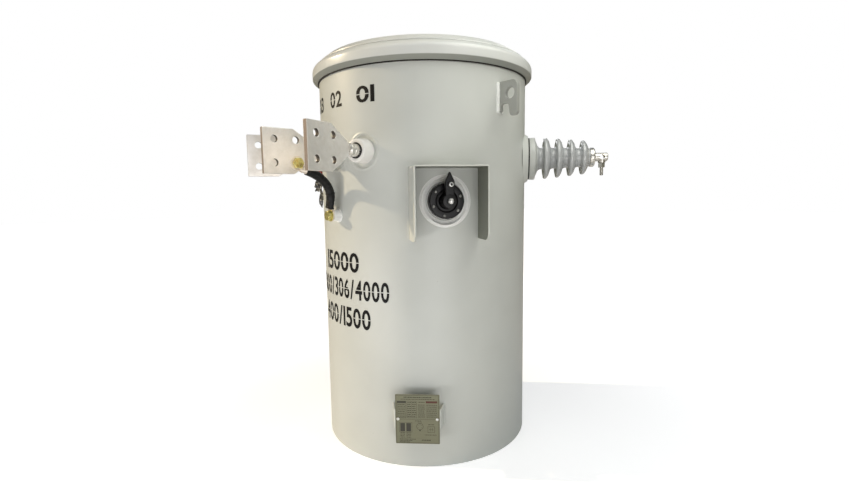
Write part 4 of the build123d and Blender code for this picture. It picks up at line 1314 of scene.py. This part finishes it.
def sleeve_section(share, turn):
    """Round above, flattened over the lug at its foot, with two lapped bands and small wrinkles."""
    foot = min(1.0, max(0.0, (share - 0.62) / 0.34))
    foot = foot * foot * (3 - 2 * foot)
    flare = max(0.0, (share - 0.9) / 0.1)
    wide, thick = 9.9 + 3 * foot + 0.8 * flare, 8.6 - 2.4 * foot
    band = hump(share, 0.61, 0.012) * 0.9 + (0.45 if 0.04 < share < 0.3 else 0.0)
    wrinkle = noise.noise(Vector((share * 42, math.cos(turn) * 1.2, math.sin(turn) * 1.2))) * 0.45
    crease = -0.5 * hump(share, 0.47, 0.01) - 0.4 * hump(share, 0.78, 0.012)
    mouth = 0.8 if share in (0.0, 1.0) else 1.0
    extra = band + wrinkle + crease
    return (wide + extra) * mouth * math.cos(turn), (thick + extra) * mouth * math.sin(turn)


rightward = Vector((1, 0, 0))
sleeve_run = flowing(strap_stations, 150)
skin("strap_sleeve", sleeve_run, sleeve_section, rightward, from_mm, sleeve, ["earth_strap"], 40)

# The lug's tongue lies flat on the right side of the blade, bolted through the lower hole nearer
# the tank, and its barrel leads off to the sleeve.
inner_hole = Vector((0, -(tank_radius + hole_reaches[1]), blade_middle - hole_half_pitch))
sidelong = Matrix(((0, 0, 1, 0), (1, 0, 0, 0), (0, 1, 0, 0), (0, 0, 0, 1)))
tongue_side = from_mm @ Matrix.Translation(inner_hole) @ sidelong
barrel_start = strap_stations[0] + (strap_stations[0] - strap_stations[1]).normalized()
tongue_run = (barrel_start - inner_hole).yz
along = tongue_run.normalized()
beside = Vector((-along.y, along.x)) * 6.5
tongue_turns = [math.atan2(along.y, along.x) + math.radians(turn) for turn in range(40, 321, 10)]
tongue_outline = [Vector((14 * math.cos(turn), 14 * math.sin(turn))) for turn in tongue_turns]
tongue_outline += [tongue_run - beside, tongue_run + beside]
tongue_place = tongue_side @ Matrix.Translation((0, 0, 6))
plate("strap_tongue", tongue_outline, [bolt_hole], 3, 0.5, tongue_place, copper_tin, ["strap_lug"])
barrel_line = [
    inner_hole + Vector((6.5, *(along * (tongue_run.length - 9)))),
    barrel_start,
    strap_stations[0].lerp(strap_stations[1], 0.6),
]


def barrel_section(share, turn):
    """Flat where it is pressed to the tongue, opening to a round barrel."""
    opened = min(1, share * 2.2)
    return (3.2 + 3.6 * opened) * math.cos(turn), (6.2 + 0.5 * opened) * math.sin(turn)


barrel_run = flowing(barrel_line, 14)
skin("strap_barrel", barrel_run, barrel_section, rightward, from_mm, copper_tin, (), 24)
fastener("blade_bolt", [
    (hexagon, 19, 8.1, 15.4),
    (turned, [(0, 7.5), (9.3, 7.5), (9.3, 8.2), (0, 8.2)]),
    (turned, [(5, -6), (5.9, -6), (5.9, 8), (5, 8)]),
    washer(12, 5, -6.5, -4.5),
    (hexagon, 19, -15.4, -6.6, True),
    (spiral, 5.9, 1.75, -17.3, -15),
], tongue_side, yellow_zinc, ["strap_bolt"])

# ==== Pressure relief valve ====
# A screwed elbow valve under a red dust cap; a stiff black pull strap is tied below the cap in
# a long loop and a short one.

# Brass darkened by its passivation: blue-black and half shiny.
valve_metal = new_material(
    "dark_passivated_brass", "dark_metal", Base_Color="#3B424B", Metallic=0.7, Roughness=0.42,
)
valve_angle, valve_height = angle_of("relief_boss"), height_of("relief_boss")
valve_place = station(valve_angle, 0, valve_height)
valve_boss = rounded([(0, -2, 0), (15, -2, 0), (15, 4, 1), (0, 4, 0)], closed=False)
lathe("valve_boss", valve_boss, valve_place, white_paint, ["relief_boss"], steps=64)
fall, elbow_reach = math.radians(60), 12
elbow = Matrix.Translation((0, 0, elbow_reach)) @ Matrix.Rotation(fall, 4, "X")
bend = [Vector((0, 0, 3.9)), Vector((0, 0, 9)), Vector((0, -1.5, 12.5))]
bend += [elbow @ Vector((0, 0, along)) for along in (4, 9, 14.9)]


def valve_section(share, turn):
    """A round pipe with a collar at each end."""
    radius = 11.9 if share > 0.86 or share < 0.12 else 11
    return radius * math.cos(turn), radius * math.sin(turn)


skin(
    "valve_body", flowing(bend, 40), valve_section, rightward, valve_place, valve_metal,
    ["relief_body"], 40, 40,
)
# Glossy moulded nylon, a deep signal red.
red_plastic = new_material(
    "red_nylon_cap", "red_plastic", Base_Color="#A01216", Roughness=0.18, IOR=1.53, Coat_Weight=0.3,
)
cap_profile = rounded([
    (0, 15, 0),
    (16, 15, 0),
    (17, 16, 0.8),
    (17, 18.2, 1),
    (15.4, 21.6, 3),
    (12.6, 25.8, 5),
    (6.8, 28.6, 5),
    (0, 28.9, 0),
], closed=False)
lathe("valve_cap", cap_profile, valve_place @ elbow, red_plastic, ["relief_cap"], steps=64)

# The pull strap is glossy black PVC twisted along its length; the pale patches in its colour are
# painted highlights, standing in for glints off its twisted faces.
pull_pvc = new_material(
    "glossy_black_pvc", "black_lead",
    Roughness=0.28, Specular_IOR_Level=0.8, Coat_Weight=1.0, Coat_Roughness=0.1,
)
pull_place = add(pull_pvc, "ShaderNodeTexCoord").outputs["Object"]
pull_grain = {"Vector": pull_place, "Scale": 1 / (7 * mm), "Detail": 1.0}
pull_fold = add(pull_pvc, "ShaderNodeTexNoise", pull_grain)
pull_highlight_range = {"Value": pull_fold, "From Min": 0.53, "From Max": 0.6, "To Max": 0.85}
pull_painted_highlight = add(pull_pvc, "ShaderNodeMapRange", pull_highlight_range, interpolation_type="SMOOTHSTEP")
pull_shades = {"Factor": pull_painted_highlight, "A": "#0B0B0D", "B": "#A7A296"}
dress(pull_pvc, Base_Color=add(pull_pvc, "ShaderNodeMix", pull_shades, data_type="RGBA"))
cap_tip = 29
knot_reach, knot_drop = elbow_reach + cap_tip * math.cos(fall), cap_tip * math.sin(fall) + 7
knot = station(valve_angle, knot_reach, valve_height - knot_drop).translation
loops_face = Matrix.Translation(knot) @ station(valve_angle + 8).to_3x3().to_4x4()
long_loop = [
    (-4, -2, 0), (-14, -8, 1), (-27, -17, 2), (-36, -33, 1), (-35, -50, 0), (-23, -68.5, 0),
    (-17.5, -50, -1), (-19.5, -30, 0), (-12, -14, 1), (-3, -5, 1),
]
short_loop = [
    (2, -3, 0), (5, -10, 1), (5.5, -22, 1), (12, -30, 1), (22, -28, 0), (24.5, -21, 0),
    (18, -16, 0), (12, -12, 1), (4, -4, 1),
]


def ribbon_section(share, turn):
    """A flat strap with a rib along each edge, twisted as it goes."""
    across = 5.2 * math.cos(turn)
    above = (1.2 + 0.5 * math.cos(turn) ** 2) * math.sin(turn)
    return Matrix.Rotation(15 * share, 2) @ Vector((across, above))


def knot_section(share, turn):
    """A slightly flattened cord."""
    return 3.1 * math.cos(turn), 2.7 * math.sin(turn)


loops = (("long", long_loop, 160, ["relief_pull"]), ("short", short_loop, 110, []))
for name, line, count, replaced in loops:
    loop_run = flowing([Vector(point) for point in line], count)
    skin(
        f"pull_loop_{name}", loop_run, ribbon_section, Vector((0, 0, 1)), loops_face, pull_pvc,
        replaced, 20, 60,
    )
knot_run = []
for step in range(41):
    turn = math.tau * step / 40 * 2.2
    spread = 6.2 - 2.0 * math.cos(turn * 0.5)
    drop = 1 + 3.4 * math.sin(turn * 0.45 + 0.4)
    knot_run.append(Vector((spread * math.cos(turn), -drop, spread * math.sin(turn) * 0.7)))
skin("pull_knot", knot_run, knot_section, Vector((0, 1, 0)), loops_face, pull_pvc, (), 16, 60)

# ==== Stencilled numbers ====
# Plain black numbers sprayed through stencils: one over each low-voltage bushing and three rows
# on the front, with the bridges of the stencil left bare; the paint is thin and follows the wall.

# Thin flat black, a little cloudy where it was sprayed lightly.
stencil_paint = surface(
    "black_stencil_paint", "black_stencil", "#030304", "#0B0B0C", (9, 4.0), Roughness=0.5, IOR=1.3,
)


def split(shape, place, across):
    """Cuts the faces of a flat mesh along a line through the place."""
    parts = shape.verts[:] + shape.edges[:] + shape.faces[:]
    bmesh.ops.bisect_plane(shape, geom=parts, plane_co=place, plane_no=across)


def stencilled(name, text, angle, low, high, width):
    """Bold condensed numbers wrapped on the wall; each closed loop is cut by a level bridge."""
    bare, gap = 1.7, 3
    glyphs = [lettered(name, sign, high - low, bold=0.02) for sign in text]
    natural = [max(vert.co.x for vert in glyph.vertices) * 2 for glyph in glyphs]
    squeeze = (width - gap * (len(text) - 1)) / sum(natural)
    at = -width / 2
    shape = bmesh.new()
    for sign, mesh, wide in zip(text, glyphs, natural):
        wide *= squeeze
        mesh.transform(Matrix.Diagonal((squeeze, 1, 1, 1)))
        glyph = bmesh.new()
        glyph.from_mesh(mesh)
        # Upright splits, so that the flat number can bend round the wall.
        for step in range(1, 9):
            split(glyph, ((step / 9 - 0.5) * wide, 0, 0), (1, 0, 0))
        if sign in "04689":
            for edge in (-bare / 2, bare / 2):
                split(glyph, (0, edge, 0), (0, 1, 0))
            masked = [face for face in glyph.faces if abs(face.calc_center_median().y) < bare / 2]
            bmesh.ops.delete(glyph, geom=masked, context="FACES")
        glyph.to_mesh(mesh)
        glyph.free()
        mesh.transform(Matrix.Translation((at + wide / 2, 0, 0)))
        shape.from_mesh(mesh)
        at += wide + gap
    outside = tank_radius + 0.3
    for vert in shape.verts:
        turn = math.radians(angle) + vert.co.x / tank_radius
        level = (low + high) / 2 + vert.co.y
        vert.co = Vector((outside * math.sin(turn), -outside * math.cos(turn), level))
    keep(name, meshed(shape, name, from_mm, faced=False), stencil_paint)


for side, text in (("left", "03"), ("centre", "02"), ("right", "01")):
    stencilled(f"stencil_{side}", text, lv_angles[side] * 1.062 + 0.9, 737, 769, 43)
stencilled("stencil_upper_row", "15000", -0.8, 398, 439.5, 129)
stencilled("stencil_middle_row", "15000/306/4000", -0.4, 341, 383, 267)
stencilled("stencil_lower_row", "400/1500", -0.2, 280, 323, 177)

# ==== Floor, backdrop and light ====
# A plain white studio: a floor that fades into a white backdrop, a warm low lamp from the left
# that throws soft shadows, and cooler, wider light from overhead and from the right.
floor_mesh = bpy.data.meshes.new("floor")
floor_half = 14.0
corners = ((-1, -1, 0), (1, -1, 0), (1, 1, 0), (-1, 1, 0))
floor_mesh.from_pydata([Vector(corner) * floor_half for corner in corners], [], [(0, 1, 2, 3)])
floor = bpy.data.objects.new("floor", floor_mesh)
bpy.context.scene.collection.objects.link(floor)
# Matt white paint that glows a little to the eye alone, so that it fades into the backdrop.
floor_paint = new_material("matt_white_studio_floor", None, Base_Color="#EDEEF0", Roughness=0.9)
floor_place = add(floor_paint, "ShaderNodeTexCoord").outputs["Object"]
fade = add(floor_paint, "ShaderNodeMapRange", {
    "Value": add(floor_paint, "ShaderNodeVectorMath", {0: floor_place}, operation="LENGTH"),
    "From Min": 0.25, "From Max": 1.5, "To Min": 0.46, "To Max": 1.0,
}, interpolation_type="SMOOTHSTEP")
seen = add(floor_paint, "ShaderNodeLightPath").outputs["Is Camera Ray"]
glow = add(floor_paint, "ShaderNodeMath", {0: seen, 1: fade}, operation="MULTIPLY")
dress(floor_paint, Emission_Color="#FFFFFF", Emission_Strength=glow)
floor_mesh.materials.append(floor_paint)

world = bpy.data.worlds.new("studio")
bpy.context.scene.world = world
world.use_nodes = True
world.node_tree.nodes.clear()
around = add(world, "ShaderNodeTexCoord").outputs["Generated"]
lit_from = {0: around, 1: Vector((0.15, -0.98, 0.1))}
lit_side = add(world, "ShaderNodeVectorMath", lit_from, operation="DOT_PRODUCT")
rise = add(world, "ShaderNodeSeparateXYZ", {"Vector": around}).outputs["Z"]
side_share, ceiling_share = [
    add(world, "ShaderNodeMapRange", {
        "Value": value, "From Min": low, "From Max": high,
    }, interpolation_type="SMOOTHSTEP")
    for value, low, high in ((lit_side, -0.3, 0.8), (rise, 0.04, 0.55))
]
in_view = add(world, "ShaderNodeLightPath").outputs["Is Camera Ray"]
room = "#49492C"
for share, colour in ((side_share, "#74756E"), (ceiling_share, "#5E6165"), (in_view, "#FFFFFF")):
    room = add(world, "ShaderNodeMix", {"Factor": share, "A": room, "B": colour}, data_type="RGBA")
sky = add(world, "ShaderNodeBackground", {"Color": room})
add(world, "ShaderNodeOutputWorld", {"Surface": sky})


def lamp(name, kind, colour, strength, azimuth, elevation, distance, **settings):
    """A lamp that shines at the tank's middle from a direction round it."""
    data = bpy.data.lights.new(name, kind)
    data.color = linear(colour)[:3]
    data.energy = strength
    for key, value in settings.items():
        setattr(data, key, value)
    turn, lift = math.radians(azimuth), math.radians(elevation)
    level = Vector((math.sin(turn), -math.cos(turn), 0)) * math.cos(lift)
    away = level + Vector((0, 0, math.sin(lift)))
    aimed = away.to_track_quat("Z", "Y").to_matrix().to_4x4()
    tank_middle = Vector((0, 0, tank_top * mm / 2))
    made = bpy.data.objects.new(name, data)
    made.matrix_world = Matrix.Translation(tank_middle + away * distance) @ aimed
    bpy.context.scene.collection.objects.link(made)


lamp("key", "SUN", "#FFE9C4", 2.2, -47, 23.5, 3, angle=math.radians(0.9))
for name, colour, strength, azimuth, elevation, distance, wide, tall in (
    ("overhead", "#FFFFFF", 8, 22, 52, 2.3, 2.0, 1.4),
    ("front", "#FDFDFF", 6.4, 62, -3, 1.9, 0.8, 0.8),
    ("right_top", "#FFFEF6", 4.4, 96, 56, 1.04, 0.6, 0.6),
    ("low_front", "#FFFDFF", 5.5, 4, -14, 1.5, 1.0, 0.3),
    ("floor_glow", "#FFFFFF", 1.7, 42, -24, 1.0, 1.2, 0.25),
    ("behind", "#F6F7FB", 9, 226, 30, 2.2, 1.4, 1.0),
):
    panel = {"shape": "RECTANGLE", "size": wide, "size_y": tall}
    lamp(name, "AREA", colour, strength, azimuth, elevation, distance, **panel)
